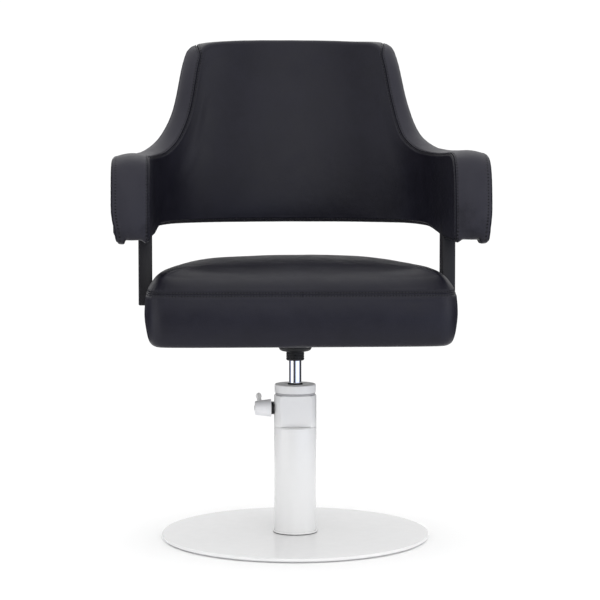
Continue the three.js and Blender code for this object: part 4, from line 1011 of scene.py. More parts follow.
def face_piece(name, side, mat):
    cols = np.arange(KL)
    pos, d, u = edge_rows(side, cols)
    R = pos.shape[0]
    verts = [pos.reshape(-1, 3)]
    faces = [grid_faces(R, KL, closed=True, flip=(side == "inner"))]
    g = face_grid(side)
    base = R * KL
    verts.append(g.reshape(-1, 3))
    ring = (R - 1) * KL

    def node(i, j):
        if i in (0, N_COL):
            return ring + i % KL
        if j == 0:
            return ring + (KL - i) % KL
        if j == N_ROW:
            return ring + i
        return base + (i - 1) * (N_ROW - 1) + (j - 1)

    ids = np.array([[node(i, j) for j in range(N_ROW + 1)] for i in range(N_COL + 1)])
    q = []
    for i in range(N_COL):
        a, b = ids[i], ids[i + 1]
        for j in range(N_ROW):
            f = [a[j], b[j], b[j + 1], a[j + 1]]
            f = [v for n, v in enumerate(f) if v not in f[:n]]
            if len(f) > 2:
                q.append(f if side == "inner" else f[::-1])
    v = np.vstack(verts)
    sd = np.full(len(v), 30.0)
    su = np.zeros(len(v))
    sd[: R * KL] = d.ravel()
    su[: R * KL] = u.ravel()
    f = [list(x) for x in faces[0]] + q
    return make(name, v, f, mat, "seat", {"seam_d": sd, "seam_u": su})


inner = face_piece("shell_inner_cover", "inner", LEATHER)
outer = face_piece("shell_outer_cover", "outer", LEATHER)


def band_piece(name, cols, mat):
    pos, d, u = edge_rows("band", cols)
    f = grid_faces(pos.shape[0], pos.shape[1])
    return make(name, pos.reshape(-1, 3), f, mat, "seat", {"seam_d": d.ravel(), "seam_u": u.ravel()})


_iT = int(np.searchsorted(U_TOP, U_TAPER0))
band_r = band_piece("arm_band_cover_right", np.arange(N_HALF + _iT, N_COL + 1), LEATHER_BAND_PAINTED_LIGHT_AND_SHADE)
band_l = band_piece("arm_band_cover_left", np.arange(0, N_HALF - _iT + 1), LEATHER_BAND_PAINTED_LIGHT_AND_SHADE)
band_b = band_piece("shell_underside_cover", np.concatenate([np.arange(N_COL, KL), [0]]), LEATHER)
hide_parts("shell_inner_panel", "shell_inner_foam")
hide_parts("shell_outer_panel", "shell_outer_foam")
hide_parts("arm_band_right")
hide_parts("arm_band_left")
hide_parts("shell_bottom_band")


# ---------------------------------------------------------------- stitching
def capsule(n=7, rings=(0.0, 0.14, 0.32, 0.5, 0.68, 0.86, 1.0), r=(0.25, 0.72, 0.95, 1.0, 0.95, 0.72, 0.25)):
    a = np.linspace(0, 2 * math.pi, n, endpoint=False)
    v = [(x - 0.5, q * math.cos(t), q * math.sin(t)) for x, q in zip(rings, r) for t in a]
    f = grid_faces(len(rings), n, closed=True).tolist()
    f += [list(range(n))[::-1], [len(v) - n + k for k in range(n)]]
    return np.array(v), f


CAP_V, CAP_F = capsule()


def stitches(name, tracks, body, length=3.7, radius=0.42, sink=0.12, pitch=STITCH):
    """Thread laid along tracks: [(points, normals, closed)]."""
    V, F = [], []
    count = 0
    for pts, nor, closed in tracks:
        l = arc_length(pts, closed)
        n = int(l[-1] / pitch)
        if n < 2:
            continue
        step = l[-1] / n
        mids = (np.arange(n) + 0.5) * step
        c = resample(pts, mids, closed)
        a = resample(pts, np.clip(mids - length / 2, 0, l[-1]), closed)
        b = resample(pts, np.clip(mids + length / 2, 0, l[-1] - 1e-6), closed)
        nn = resample(nor, mids * (arc_length(nor, closed)[-1] / l[-1]), closed) if False else None
        li = np.interp(mids, l, np.arange(len(l)))
        idx = np.clip(np.round(li).astype(int), 0, len(nor) - 1) if not closed else np.round(li).astype(int) % len(nor)
        nn = nor[idx]
        t = b - a
        tl = np.linalg.norm(t, axis=1)
        t = t / tl[:, None]
        nn = nn - t * (nn * t).sum(1)[:, None]
        nn /= np.linalg.norm(nn, axis=1)[:, None]
        bb = np.cross(t, nn)
        mid = (a + b) / 2 * 0.5 + c * 0.5 + nn * (radius * 0.55 - sink)
        arch = (0.25 - CAP_V[:, 0] ** 2) * 1.1  # the ends dive into the holes
        v = (
            mid[:, None]
            + CAP_V[None, :, 0:1] * (tl[:, None, None]) * t[:, None]
            + (CAP_V[None, :, 1:2] * radius + arch[None, :, None] - 0.2) * nn[:, None]
            + CAP_V[None, :, 2:3] * radius * 1.15 * bb[:, None]
        )
        V.append(v.reshape(-1, 3))
        k = len(CAP_V)
        for i in range(n):
            off = count + i * k
            F += [[q + off for q in f] for f in CAP_F]
        count += n * k
    return make(name, np.vstack(V), F, THREAD, body)


def shell_track(cols, which, off):
    """A row of stitches on the shell, off mm from a seam (signed along w)."""
    u = LOOP_U[cols]
    P, N, T = LOOP_P[cols], LOOP_IN[cols], THICK[cols]
    ws = w_seam(u, T) if which == "inner" else w_out(T)
    slope = np.sqrt(1 + seam_slope(u, T) ** 2) if which == "inner" else np.ones_like(u)
    bulge = bulge_at(u)

    def at(dw, raise_):
        w = ws + (off + dw) * slope
        e, t, ne, nt = section(w, T, bulge)
        sz = P + N * e[:, None]
        base = shell_point(sz[:, 0], sz[:, 1], t)
        d = np.abs(off + dw) + 0 * w
        h = seam_relief(d, TOPSTITCH if which == "outer" and off < 0 else 3.4) + soft_relief(base, 0.8) * smooth(2, 14, d) + pucker(base, d, u) + raise_
        e, t = e + ne * h, t + nt * h
        sz = P + N * e[:, None]
        p = shell_point(sz[:, 0], sz[:, 1], t)
        p[:, 2] += bottom_arch(u, T, t)
        return p

    p = at(0.0, 0.0)
    n = at(0.0, 1.0) - p
    n /= np.linalg.norm(n, axis=1)[:, None]
    return p, n, False


side_r = np.arange(N_HALF + _iT + 1, N_COL)
side_l = np.arange(1, N_HALF - _iT)
allb = np.arange(N_COL + 1, KL)
topc = np.arange(N_HALF - _iT, N_HALF + _iT + 1)
stitches(
    "shell_seam_thread_inner",
    [shell_track(side_r, "inner", 3.4), shell_track(side_r, "inner", -3.4), shell_track(side_l, "inner", 3.4), shell_track(side_l, "inner", -3.4)],
    "seat",
)
stitches(
    "shell_seam_thread_outer",
    [shell_track(side_r, "outer", -TOPSTITCH), shell_track(side_l, "outer", -TOPSTITCH), shell_track(side_r, "outer", 3.4), shell_track(side_l, "outer", 3.4), shell_track(topc, "outer", 3.4)],
    "seat",
)
stitches("shell_seam_thread_under", [shell_track(allb, "inner", 3.4), shell_track(allb, "outer", -TOPSTITCH)], "seat")

# ==================================================================== seat
SEAT_C = np.array([0.0, -20.0])


def seat_plan():
    pts = [(0, -256), (60, -256), (120, -255.8), (175, -255), (215, -252.6), (240, -247.5), (255.5, -237),
           (263, -219), (264.8, -192), (262.6, -155), (257, -108), (251, -60), (247.6, -20)]
    for y in (18, 58, 98, 134, 163, 185, 200, 209.5):
        pts.append((246 * (1 - (y / 215) ** 2.3) ** (1 / 2.3), y))
    pts.append((0, 215))
    left = [(-x, y) for x, y in pts[1:-1][::-1]]
    p = np.array(pts + left, float)
    # smooth closed curve through the points
    q = np.vstack([p, p[:1]])
    q = catmull(q, 24)[:-1]
    L = arc_length(q, True)[-1]
    n = int(round(L))
    q = resample(q, np.arange(n) * L / n, True)
    return blur_closed(q, 5.0)


_sp = seat_plan()
_sl = arc_length(_sp, True)
SK = 640
_su = np.arange(SK) * _sl[-1] / SK
SEAT_P = resample(_sp, _su, True)
_st = np.roll(_sp, -1, 0) - np.roll(_sp, 1, 0)
_st /= np.linalg.norm(_st, axis=1)[:, None]
_sn = np.stack([_st[:, 1], -_st[:, 0]], 1)
_sn_soft = blur_closed(_sn, 14.0)
_sn_soft /= np.linalg.norm(_sn_soft, axis=1)[:, None]
SEAT_N = resample(_sn_soft, _su * (arc_length(_sn_soft, True)[-1] / _sl[-1]), True) if False else np.stack(
    [np.interp(_su, _sl, np.append(_sn_soft[:, c], _sn_soft[0, c])) for c in (0, 1)], 1)
SEAT_N /= np.linalg.norm(SEAT_N, axis=1)[:, None]
# corner weight: where the plan turns
_turn = np.abs(np.unwrap(np.arctan2(_st[:, 1], _st[:, 0])) - np.roll(np.unwrap(np.arctan2(_st[:, 1], _st[:, 0])), 1))
_turn[_turn > 1] = 0
_turn = blur_closed(_turn[:, None], 18.0)[:, 0]
SEAT_TURN = np.interp(_su, _sl, np.append(_turn, _turn[0]))
SEAT_TURN /= SEAT_TURN.max()

SEAM_Z = 456.6


def seat_section(rows):
    """rows: [(e, z)] -> the rows as an array and the outward normal of the profile."""
    r = np.asarray(rows, float)
    t = np.gradient(r, axis=0)
    t /= np.linalg.norm(t, axis=1)[:, None]
    # going up the outside; outward is to smaller e
    n = np.stack([-t[:, 1], t[:, 0]], 1)
    return r, n


def seat_profile_band():
    """From under the seat round the lower edge and up to the seam."""
    pts = [(38, 364.9), (30, 364.9), (22, 365.1), (16, 366.1), (12, 368.2), (8.8, 371.6), (6.2, 376.6), (4.3, 382.6), (3.0, 389), (1.9, 397),
           (0.7, 408), (0.1, 418), (0.1, 430), (0.5, 441), (1.1, 450), (1.8, SEAM_Z)]
    c = catmull(pts, 20)
    l = arc_length(c)
    return c, l


RISE = 41.8
TOP_E0 = 1.8
# the top rises quickly from the side seams and slowly from the front one
LAM = 16.5 + 21.0 * smooth(0.15, 1.0, -SEAT_N[:, 1]) + 11.0 * smooth(-80, 60, SEAT_P[:, 1])
LAM = blur_closed(LAM[:, None], 15.0)[:, 0]
_dd = np.linspace(0, 60, 601)
_slope = RISE / LAM[:, None] * np.exp(-_dd[None] / LAM[:, None])
_darc = np.sqrt(1 + _slope**2)
ARC = np.concatenate([np.zeros((SK, 1)), np.cumsum((_darc[:, 1:] + _darc[:, :-1]) / 2 * 0.1, axis=1)], 1)
TOP_LEN = ARC[:, 340]


def top_height(d, lam):
    return SEAM_Z + RISE * (1 - np.exp(-d / lam))


def top_place(dist):
    """dist (rows, SK) along the surface from the seam -> e, z, ne, nz."""
    d = np.stack([np.interp(dist[:, k], ARC[k], _dd) for k in range(SK)], 1)
    sl = RISE / LAM[None] * np.exp(-d / LAM[None])
    q = np.sqrt(1 + sl**2)
    return TOP_E0 + d, top_height(d, LAM[None]), -sl / q, 1 / q


def seat_relief(d, corner):
    return (
        -1.7 * np.exp(-((d / 0.7) ** 2))
        + 0.40 * gauss(d, 1.75, 0.85)
        - 0.5 * gauss(d, 3.6, 0.9)
        + 0.35 * gauss(d, 8.0, 3.5)
        - 2.1 * np.exp(-d / 8.0)
    )


def seat_pucker(p, d, u, corner):
    wave = np.sin(u * 2 * math.pi / 11.0 + 2.2 * vnoise(p, 26, 31)) * (0.55 + 0.45 * vnoise(p, 50, 32))
    return (0.12 + 0.5 * corner) * wave * np.exp(-np.abs(d - 6) / 7.0)


def band_place(dist):
    c, l = seat_profile_band()
    L = l[-1]
    at = L - dist
    e, z = np.interp(at, l, c[:, 0]), np.interp(at, l, c[:, 1])
    te = np.interp(np.clip(at + 0.4, 0, L), l, c[:, 0]) - np.interp(np.clip(at - 0.4, 0, L), l, c[:, 0])
    tz = np.interp(np.clip(at + 0.4, 0, L), l, c[:, 1]) - np.interp(np.clip(at - 0.4, 0, L), l, c[:, 1])
    tl = np.hypot(te, tz)
    return e, z, -tz / tl, te / tl


def seat_rows(kind):
    """Distances (rows, SK) from the seam, with the place and normal there."""
    if kind == "band":
        L = seat_profile_band()[1][-1]
        dist = np.concatenate([SEAM_D, np.linspace(SEAM_D[-1], L, 42)[1:]])[:, None] + 0 * SEAT_TURN[None]
        return dist, *band_place(dist)
    far = np.linspace(0, 1, 17)[1:, None]
    dist = np.vstack([SEAM_D[:, None] + 0 * TOP_LEN, SEAM_D[-1] + (TOP_LEN[None] - SEAM_D[-1]) * far])
    return dist, *top_place(dist)


def seat_ring(e, z):
    """e, z of shape (rows, SK)."""
    xy = SEAT_P[None] - SEAT_N[None] * e[..., None]
    return np.concatenate([xy, z[..., None]], -1)


def seat_waist(kind, z):
    """Returns no pull: the long sides would pull in a little between the corners, but nothing is moved."""
    return 0.0


def build_seat(kind):
    D, E, Z, NE, NZ = seat_rows(kind)
    base = seat_ring(E, Z).reshape(-1, 3)
    U = _su[None] + 0 * D
    corner = SEAT_TURN[None] + 0 * D
    h = seat_relief(D, corner)
    h = h + seat_pucker(base, D.ravel(), U.ravel(), corner.ravel()).reshape(D.shape)
    h = h + (soft_relief(base, 1.1).reshape(D.shape)) * smooth(3, 16, D)
    if kind == "band":
        under = smooth(371, 366.5, Z)  # the underside stays flat
        h = h * (1 - under)
        # fullness of the side between seam and lower edge
        h = h + 1.1 * np.sin(np.clip((Z - 385) / (SEAM_Z - 385), 0, 1) * math.pi) * (1 - 0.5 * corner)
    pos = seat_ring(E + NE * h * 1.0, Z + NZ * h)
    return pos, D, U


def seat_crown(p):
    """Height added over the flat of the crown, in mm, by plan position."""
    x, y = p[..., 0] / 235.0, (p[..., 1] + 20) / 215.0
    r2 = np.clip(x * x + y * y, 0, 1)
    sit = -1.6 * np.exp(-(((p[..., 0] - 62) / 62) ** 2 + ((p[..., 1] - 8) / 70) ** 2)) - 1.6 * np.exp(
        -(((p[..., 0] + 62) / 62) ** 2 + ((p[..., 1] - 8) / 70) ** 2))
    return 6.6 * (1 - r2) + sit


def seat_top_piece():
    pos, D, U = build_seat("top")
    R = pos.shape[0]
    # interior: shrink the last ring to the centre
    last = pos[-1]
    prev = pos[-2]
    fr = 1 - np.linspace(0, 1, 61)[1:-1] ** 0.97
    xy = SEAT_C[None, None] + (last[None, :, :2] - SEAT_C[None, None]) * fr[:, None, None]
    k = 1 - fr[:, None]
    # carry on the rise of the roll
    reach = np.linalg.norm(last[:, :2] - SEAT_C, axis=1)[None]
    gone = reach * k
    relief = (last[:, 2] - top_height(34.0, LAM))[None] * np.exp(-gone / 12.0)
    z = top_height(34.0 + gone, LAM[None]) + relief * (1 - k)
    pxyz = np.concatenate([xy, z[..., None]], -1)
    z = z + soft_relief(pxyz.reshape(-1, 3), 1.1).reshape(z.shape) * smooth(0, 0.12, k)
    # crowning fades in away from the ring
    z = z + seat_crown(pxyz) * smooth(0, 0.35, k)
    zc = float(z[-1].mean())
    z = lerp(z, zc, smooth(0.9, 1.0, k) * 1.0)
    inner_v = np.concatenate([xy, z[..., None]], -1)
    v = np.vstack([pos.reshape(-1, 3), inner_v.reshape(-1, 3), [[SEAT_C[0], SEAT_C[1], zc]]])
    rows = R + len(fr)
    f = [list(q) for q in grid_faces(rows, SK, closed=True)]
    c = rows * SK
    lastrow = (rows - 1) * SK
    f += [[lastrow + i, lastrow + (i + 1) % SK, c] for i in range(SK)]
    sd = np.full(len(v), 30.0)
    su = np.zeros(len(v))
    sd[: R * SK] = D.ravel()
    su[: R * SK] = U.ravel()
    return make("seat_top_cover", v, f, LEATHER_SEAT, "seat", {"seam_d": sd, "seam_u": su})


def seat_band_piece():
    pos, D, U = build_seat("band")
    f = grid_faces(pos.shape[0], SK, closed=True, flip=True)
    return make("seat_side_cover", pos.reshape(-1, 3), f, LEATHER, "seat", {"seam_d": D.ravel(), "seam_u": U.ravel()})


seat_top = seat_top_piece()
seat_side = seat_band_piece()
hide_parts("seat_top_panel", "seat_foam")
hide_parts("seat_side_band")


def seat_track(kind, off):
    place = band_place if kind == "band" else top_place
    E, Z, NE, NZ = (q[0] for q in place(off + 0 * SEAT_TURN[None]))
    base = seat_ring(E[None], Z[None])[0]
    d = off + 0 * E
    h = seat_relief(d, SEAT_TURN) + seat_pucker(base, d, _su, SEAT_TURN) + soft_relief(base, 1.1) * smooth(3, 16, d)
    p = seat_ring((E + NE * h)[None], (Z + NZ * h)[None])[0]
    q = seat_ring((E + NE * (h + 1))[None], (Z + NZ * (h + 1))[None])[0]
    n = q - p
    return p, n / np.linalg.norm(n, axis=1)[:, None], True


stitches("seat_seam_thread", [seat_track("band", 3.6), seat_track("top", 3.6)], "seat")


# the dust cloth under the seat, stapled all round
def dust_cover():
    e0 = 26.0
    fr = 1 - np.linspace(0, 1, 40)[:-1]
    ring = SEAT_P - SEAT_N * e0
    xy = SEAT_C + (ring[None] - SEAT_C) * fr[:, None, None]
    k = 1 - fr[:, None]
    # held up at the rim and at the plate, sags a little between
    r = np.linalg.norm(xy - SEAT_C, axis=-1)
    z = 366.4 - 0.55 * np.sin(np.clip(k * 1.05, 0, 1) * math.pi) + 0 * r
    z = z + 0.16 * vnoise(np.concatenate([xy, z[..., None]], -1).reshape(-1, 3), 28, 41).reshape(z.shape) * smooth(0, 0.08, k)
    v = np.vstack([np.concatenate([xy, z[..., None]], -1).reshape(-1, 3), [[SEAT_C[0], SEAT_C[1], float(z[-1].mean())]]])
    n = len(fr)
    f = [list(q)[::-1] for q in grid_faces(n, SK, closed=True)]
    c = n * SK
    f += [[(n - 1) * SK + (i + 1) % SK, (n - 1) * SK + i, c] for i in range(SK)]
    return make("seat_dust_cloth", v, f, DUST, "seat")


dust = dust_cover()
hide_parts("seat_dust_cover")


# =================================================================== posts
def post(side, s):
    prof = [(190, 387.7), (227, 387.7), (227, 424), (278.2, 424), (278.2, 606), (254.6, 606), (254.6, 440), (222, 440), (222, 392.7), (190, 392.7)]
    n = len(prof)
    v = [(s * x, y, z) for y in (-79, -39) for x, z in prof]
    f = [list(range(n)), [n + k for k in range(n)][::-1]]
    f += [[k, n + k, n + (k + 1) % n, (k + 1) % n] for k in range(n)]
    if s < 0:
        f = [q[::-1] for q in f]
    o = raw_object("post_cover_" + side, v, f)
    o = solid_with("post_upright_" + side, o, [], BLACK, "seat", bevel=2.4, segs=4)
    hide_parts("post_" + side)
    return o


post("left", -1)
post("right", 1)

# ==================================================================== base
B = "base"


def replace(o, *nodes):
    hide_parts(*nodes)
    return o


# floor plate with a softly rolled rim
replace(
    lathe(
        "floor_plate",
        fillet([(0, 2.3), (239.6, 2.3), (240, 2.7), (240, 7.3), (0, 7.55)], [0, 0.4, 0.3, 2.6, 0], 8),
        WHITE_PAINT_PLATE_SHADED, B, seg=256,
    ),
    "base_disc",
)
replace(lathe("column_body", fillet([(34.8, 8.7), (38, 8.7), (38, 197.9), (34.8, 197.9)], 0.9, 4, closed=True), WHITE, B, seg=144, closed=True), "column_tube")


def clipped(d, flat, seg=192):
    """Circle of the head with its two milled flats, inset by d."""
    R, H = 38 - d, flat - d
    a0 = math.asin(min(1, H / R))
    pts = []
    n = seg // 4
    for k in range(n):  # right arc
        a = -a0 + 2 * a0 * k / n
        pts.append((R * math.cos(a), R * math.sin(a)))
    x = math.sqrt(max(R * R - H * H, 0))
    for k in range(n):
        pts.append((x - 2 * x * k / n, H))
    for k in range(n):
        a = math.pi - a0 + 2 * a0 * k / n
        pts.append((R * math.cos(a), R * math.sin(a)))
    for k in range(n):
        pts.append((-x + 2 * x * k / n, -H))
    return np.array(pts)


def column_head():
    rows = []
    full = 38.0
    # ledge ring under the flats, then the milled part
    for z, d in ((198.0, 0.5), (198.25, 0.15), (198.6, 0.0), (199.0, 0.05), (199.25, 0.5)):
        a = np.linspace(0, 1, 1)
        c = clipped(0.0, 37.999)
        c = c * ((full - d) / full)
        rows.append((c, z))
    for z, d in ((199.3, 1.0), (199.5, 0.45), (200.0, 0.12), (200.8, 0.0), (220, 0.0), (240, 0.0), (254.4, 0.0), (255.2, 0.15), (255.8, 0.55), (256.0, 1.2)):
        rows.append((clipped(d, 26.0), z))
    # inner bore
    v = [np.column_stack([c, np.full(len(c), z)]) for c, z in rows]
    K = len(v[0])
    bore = []
    for c, z in ((clipped(0, 26.0), 256.0),):
        n = c / np.linalg.norm(c, axis=1)[:, None] * 20.2
        bore.append(np.column_stack([n, np.full(K, z)]))
        bore.append(np.column_stack([n, np.full(K, 198.0)]))
    v = v + bore
    f = grid_faces(len(v), K, closed=True).tolist()
    m = len(v)
    f += [[(m - 1) * K + k, (m - 1) * K + (k + 1) % K, (k + 1) % K, k] for k in range(K)]
    o = make("column_head_cast", np.vstack(v), f, WHITE, B)
    o.data.set_sharp_from_angle(angle=math.radians(60))
    return replace(o, "column_head")


column_head()
# painted shade: the seal's grey stands in for the shade in the gap between cap and head
replace(lathe("head_seal", fillet([(20.2, 256.2), (35.6, 256.2), (35.6, 260.3), (20.2, 260.3)], 0.6, 3, closed=True), GAP_SHADE_GREY_RUBBER, B, closed=True), "head_gasket")
replace(
    lathe(
        "column_cap_cast",
        fillet([(13.8, 260.5), (37, 260.5), (37, 275.5), (19.0, 275.5), (17.4, 274.6), (13.8, 274.6)], [0, 0.9, 2.0, 0.4, 0.4, 0.3], 6, closed=True),
        WHITE_CAST, B, closed=True,
    ),
    "column_cap",
)
replace(lathe("rod_wiper_lip", fillet([(11.25, 266), (13.6, 266), (13.6, 275.6), (13.2, 276.6), (11.9, 277.2), (11.3, 276.4)], 0.4, 3, closed=True), RUBBER, B, closed=True, seg=96), "rod_wiper")
replace(lathe("piston_rod_chrome", fillet([(0, 102), (11, 102), (11, 341), (0, 341)], [0, 0.8, 1.0, 0], 4), CHROME, "seat", seg=128), "piston_rod")

# socket that clamps the seat on the rod, with its turned grooves
_sock = [(11.3, 318), (14.6, 318), (16.0, 319.2)]
for k in range(5):
    z = 320.6 + k * 2.9
    _sock += [(16.2, z), (16.2, z + 1.5), (15.55, z + 1.95), (15.55, z + 2.45)]
_sock += [(16.2, 335.0), (24.0, 335.0), (27.4, 336.6), (29.4, 340.0), (29.8, 343.0), (11.3, 343.0)]
replace(lathe("seat_socket_cast", fillet(_sock, 0.35, 3, closed=True), BLACK_CAST, "seat", closed=True, seg=144), "seat_socket")


# --------------------------------------------------------------- swivel lock
LOCK_Z = 232.0
replace(
    lathe("lock_hub_cast", fillet([(5.4, 43.5), (15.3, 43.5), (15.9, 44.4), (15.7, 47), (12.9, 69.2), (12.3, 72.6), (6.2, 72.6), (5.4, 71.6)], [0, 0.4, 0.5, 6, 3, 2.4, 0.4, 0.3], 6, closed=True), WHITE_HAMMER, "lock", seg=96, axis="-x", at=(0, 0, LOCK_Z), closed=True),
    "lock_hub",
)
replace(lathe("lock_washer_black", fillet([(5.4, 38.4), (11.5, 38.4), (11.5, 43.2), (5.4, 43.2)], 0.5, 3, closed=True), BLACK_CAST, B, seg=72, axis="-x", at=(0, 0, LOCK_Z), closed=True), "lock_washer")
replace(lathe("lock_screw_cap", fillet([(0, 71), (5, 71), (5, 72.8), (4.2, 73.7), (2.0, 73.9), (1.7, 72.7), (0, 72.7)], [0, 0.2, 0.4, 0.3, 0.15, 0.15, 0], 3), STEEL, "lock", seg=60, axis="-x", at=(0, 0, LOCK_Z)), "lock_hub_screw")
replace(lathe("lock_spindle_turned", fillet([(0, 20.4), (5, 20.4), (5, 70.6), (0, 70.6)], 0.6, 3), STEEL, "lock", seg=60, axis="-x", at=(0, 0, LOCK_Z)), "lock_spindle")


def lock_lever():
    tilt = math.radians(3.6)
    ys = np.concatenate([np.linspace(8.2, 98, 46), np.linspace(99, 119.6, 26)])
    rows = []
    K = 48
    a = np.linspace(0, 2 * math.pi, K, endpoint=False)
    for y in ys:
        body = lerp(4.0, 3.8, smooth(14, 50, y)), lerp(4.5, 4.1, smooth(14, 50, y))
        ball = 6.5 * math.sqrt(max(0.0, 1 - ((y - 112) / 8.0) ** 2)) if y > 104 else 0.0
        wide = ball * 0.84
        k = float(smooth(97, 107, y))
        hx = max(lerp(body[0], 4.4, k) if y < 112 else 0, wide)
        hz = max(lerp(body[1], 4.8, k) if y < 112 else 0, ball)
        if y < 9.4:
            hx, hz = hx - (9.4 - y) * 0.5, hz - (9.4 - y) * 0.5
        n = lerp(3.2, 2.0, float(smooth(90, 108, y)))
        cx = np.sign(np.cos(a)) * np.abs(np.cos(a)) ** (2 / n) * hx
        cz = np.sign(np.sin(a)) * np.abs(np.sin(a)) ** (2 / n) * hz
        rows.append(np.column_stack([-62 + cx, np.full(K, y), cz]))
    v = np.vstack(rows)
    m = len(rows)
    v = np.vstack([v, [[-62, 8.2, 0], [-62, 119.95, 0]]])
    f = grid_faces(m, K, closed=True).tolist()
    f += [[(k + 1) % K, k, m * K] for k in range(K)]
    f += [[(m - 1) * K + k, (m - 1) * K + (k + 1) % K, m * K + 1] for k in range(K)]
    f = [q[::-1] for q in f]
    c, s = math.cos(tilt), math.sin(tilt)
    y, z = v[:, 1] * c - v[:, 2] * s, v[:, 1] * s + v[:, 2] * c
    v = np.column_stack([v[:, 0], y, z + LOCK_Z])
    return replace(make("lock_lever_arm", v, f, WHITE_CAST, "lock"), "lock_arm")


lock_lever()

# ------------------------------------------------------------- foot pump
PIVOT_Y, PIVOT_Z, PLUNGER_Y = 52.0, 78.0, 80.0


def union(a, *others):
    return a, [("UNION", o) for o in others]


m, ops = raw_box(-18, 18, 34, 94, 7.6, 34), [
    ("DIFFERENCE", raw_cyl(38.3, (0, 0, 0), (0, 0, 60), 128)),
    ("DIFFERENCE", raw_cyl(5.3, (0, PLUNGER_Y, 12), (0, PLUNGER_Y, 60), 48)),
]
replace(solid_with("pump_housing", m, ops, WHITE_CAST, B, bevel=2.0, segs=4), "pump_body")
m, ops = raw_box(-19, 19, 34, 43, PIVOT_Z - 16, PIVOT_Z + 12), [
    ("UNION", raw_box(-19, -14.3, 40, 61, PIVOT_Z - 13, PIVOT_Z + 10)),
    ("UNION", raw_box(14.3, 19, 40, 61, PIVOT_Z - 13, PIVOT_Z + 10)),
    ("DIFFERENCE", raw_cyl(38.3, (0, 0, 0), (0, 0, 150), 128)),
    ("DIFFERENCE", raw_cyl(4.3, (-40, PIVOT_Y, PIVOT_Z), (40, PIVOT_Y, PIVOT_Z), 48)),
]
replace(solid_with("pedal_fork", m, ops, WHITE_CAST, B, bevel=1.2, segs=3), "pedal_bracket")
m, ops = raw_box(-13.5, 13.5, PIVOT_Y, 170, PIVOT_Z - 8, PIVOT_Z - 1), [
    ("UNION", raw_cyl(8, (-13.5, PIVOT_Y, PIVOT_Z), (13.5, PIVOT_Y, PIVOT_Z), 64)),
    ("UNION", raw_box(-28, 28, 166, 204, PIVOT_Z - 8, PIVOT_Z - 3)),
    ("DIFFERENCE", raw_cyl(4.3, (-40, PIVOT_Y, PIVOT_Z), (40, PIVOT_Y, PIVOT_Z), 48)),
]
replace(solid_with("pedal_arm", m, ops, WHITE, "pedal", bevel=1.6, segs=4), "pedal_lever")
m, ops = raw_box(-27, 27, 172, 203, PIVOT_Z - 2.7, PIVOT_Z + 2.3), [
    ("DIFFERENCE", raw_box(-24, 24, y - 1.1, y + 1.1, PIVOT_Z + 0.9, PIVOT_Z + 6)) for y in (177, 182.2, 187.5, 192.8, 198)
]
replace(solid_with("pedal_tread", m, ops, RUBBER, "pedal", bevel=0.7, segs=3), "pedal_pad")
replace(lathe("pedal_pin", fillet([(0, -21), (4, -21), (4, 21), (0, 21)], 0.8, 3), STEEL, B, seg=48, axis="-x", at=(0, PIVOT_Y, PIVOT_Z)), "pedal_pivot_pin")
replace(
    lathe("plunger_rod", fillet([(0, 25.5), (5, 25.5), (5, 62.3), (8.6, 62.3), (8.6, 64.3), (5, 64.3), (4.6, 67), (3, 68.9), (0, 69.5)], [0, 0.5, 0.3, 0.5, 0.5, 0.6, 1, 1.5, 0], 4), CHROME, "plunger", seg=64, at=(0, PLUNGER_Y, 0)),
    "pump_plunger",
)


# foot ring round the column, open where the pump passes
def foot_ring():
    a0 = math.radians(90 + 29.2)
    a1 = math.radians(360 + 90 - 29.2)
    prof = fillet([(38.3, 8.7), (40.6, 8.7), (40.6, 11.9), (38.3, 11.9)], [0.2, 0.3, 0.9, 0.2], 4, closed=True)
    P = len(prof)
    A = np.linspace(a0, a1, 160)
    v = [(r * math.cos(a), r * math.sin(a), z) for a in A for r, z in prof]
    f = []
    for i in range(len(A) - 1):
        for k in range(P):
            f.append([i * P + k, (i + 1) * P + k, (i + 1) * P + (k + 1) % P, i * P + (k + 1) % P])
    f = [q for q in f]
    f += [list(range(P))[::1], [(len(A) - 1) * P + k for k in range(P)][::-1]]
    o = make("foot_ring", v, f, WHITE, B)
    bm = bmesh.new()
    bm.from_mesh(o.data)
    bmesh.ops.recalc_face_normals(bm, faces=bm.faces[:])
    bm.to_mesh(o.data)
    bm.free()
    o.data.polygons.foreach_set("use_smooth", np.ones(len(o.data.polygons), bool))
    o.data.set_sharp_from_angle(angle=math.radians(50))
    return replace(o, "column_foot_ring")


foot_ring()


# ------------------------------------------------------------ plate and bolts
def pan():
    def sq(h, c, z):
        return [(h, -c, z), (h, c, z), (c, h, z), (-c, h, z), (-h, c, z), (-h, -c, z), (-c, -h, z), (c, -h, z)]

    rings = [sq(31, 20, 343.3), sq(88, 70, 361), sq(115, 95, 361), sq(115, 95, 365), sq(86, 68, 365), sq(29, 18, 347.3)]
    v = [p for r in rings for p in r]
    f = [[k for k in range(8)][::-1], [40 + k for k in range(8)]]
    for j in range(5):
        f += [[j * 8 + k, j * 8 + (k + 1) % 8, (j + 1) * 8 + (k + 1) % 8, (j + 1) * 8 + k] for k in range(8)]
    o = raw_object("pan", v, f)
    ops = [("DIFFERENCE", raw_cyl(4.3, (x, y, 350), (x, y, 372), 40)) for x, y in BOLTS]
    return replace(solid_with("seat_pan_pressed", o, ops, BLACK, "seat", bevel=1.5, segs=4, angle=12), "mounting_plate")


BOLTS = [(92, 92), (-92, 92), (-92, -92), (92, -92)]
pan()


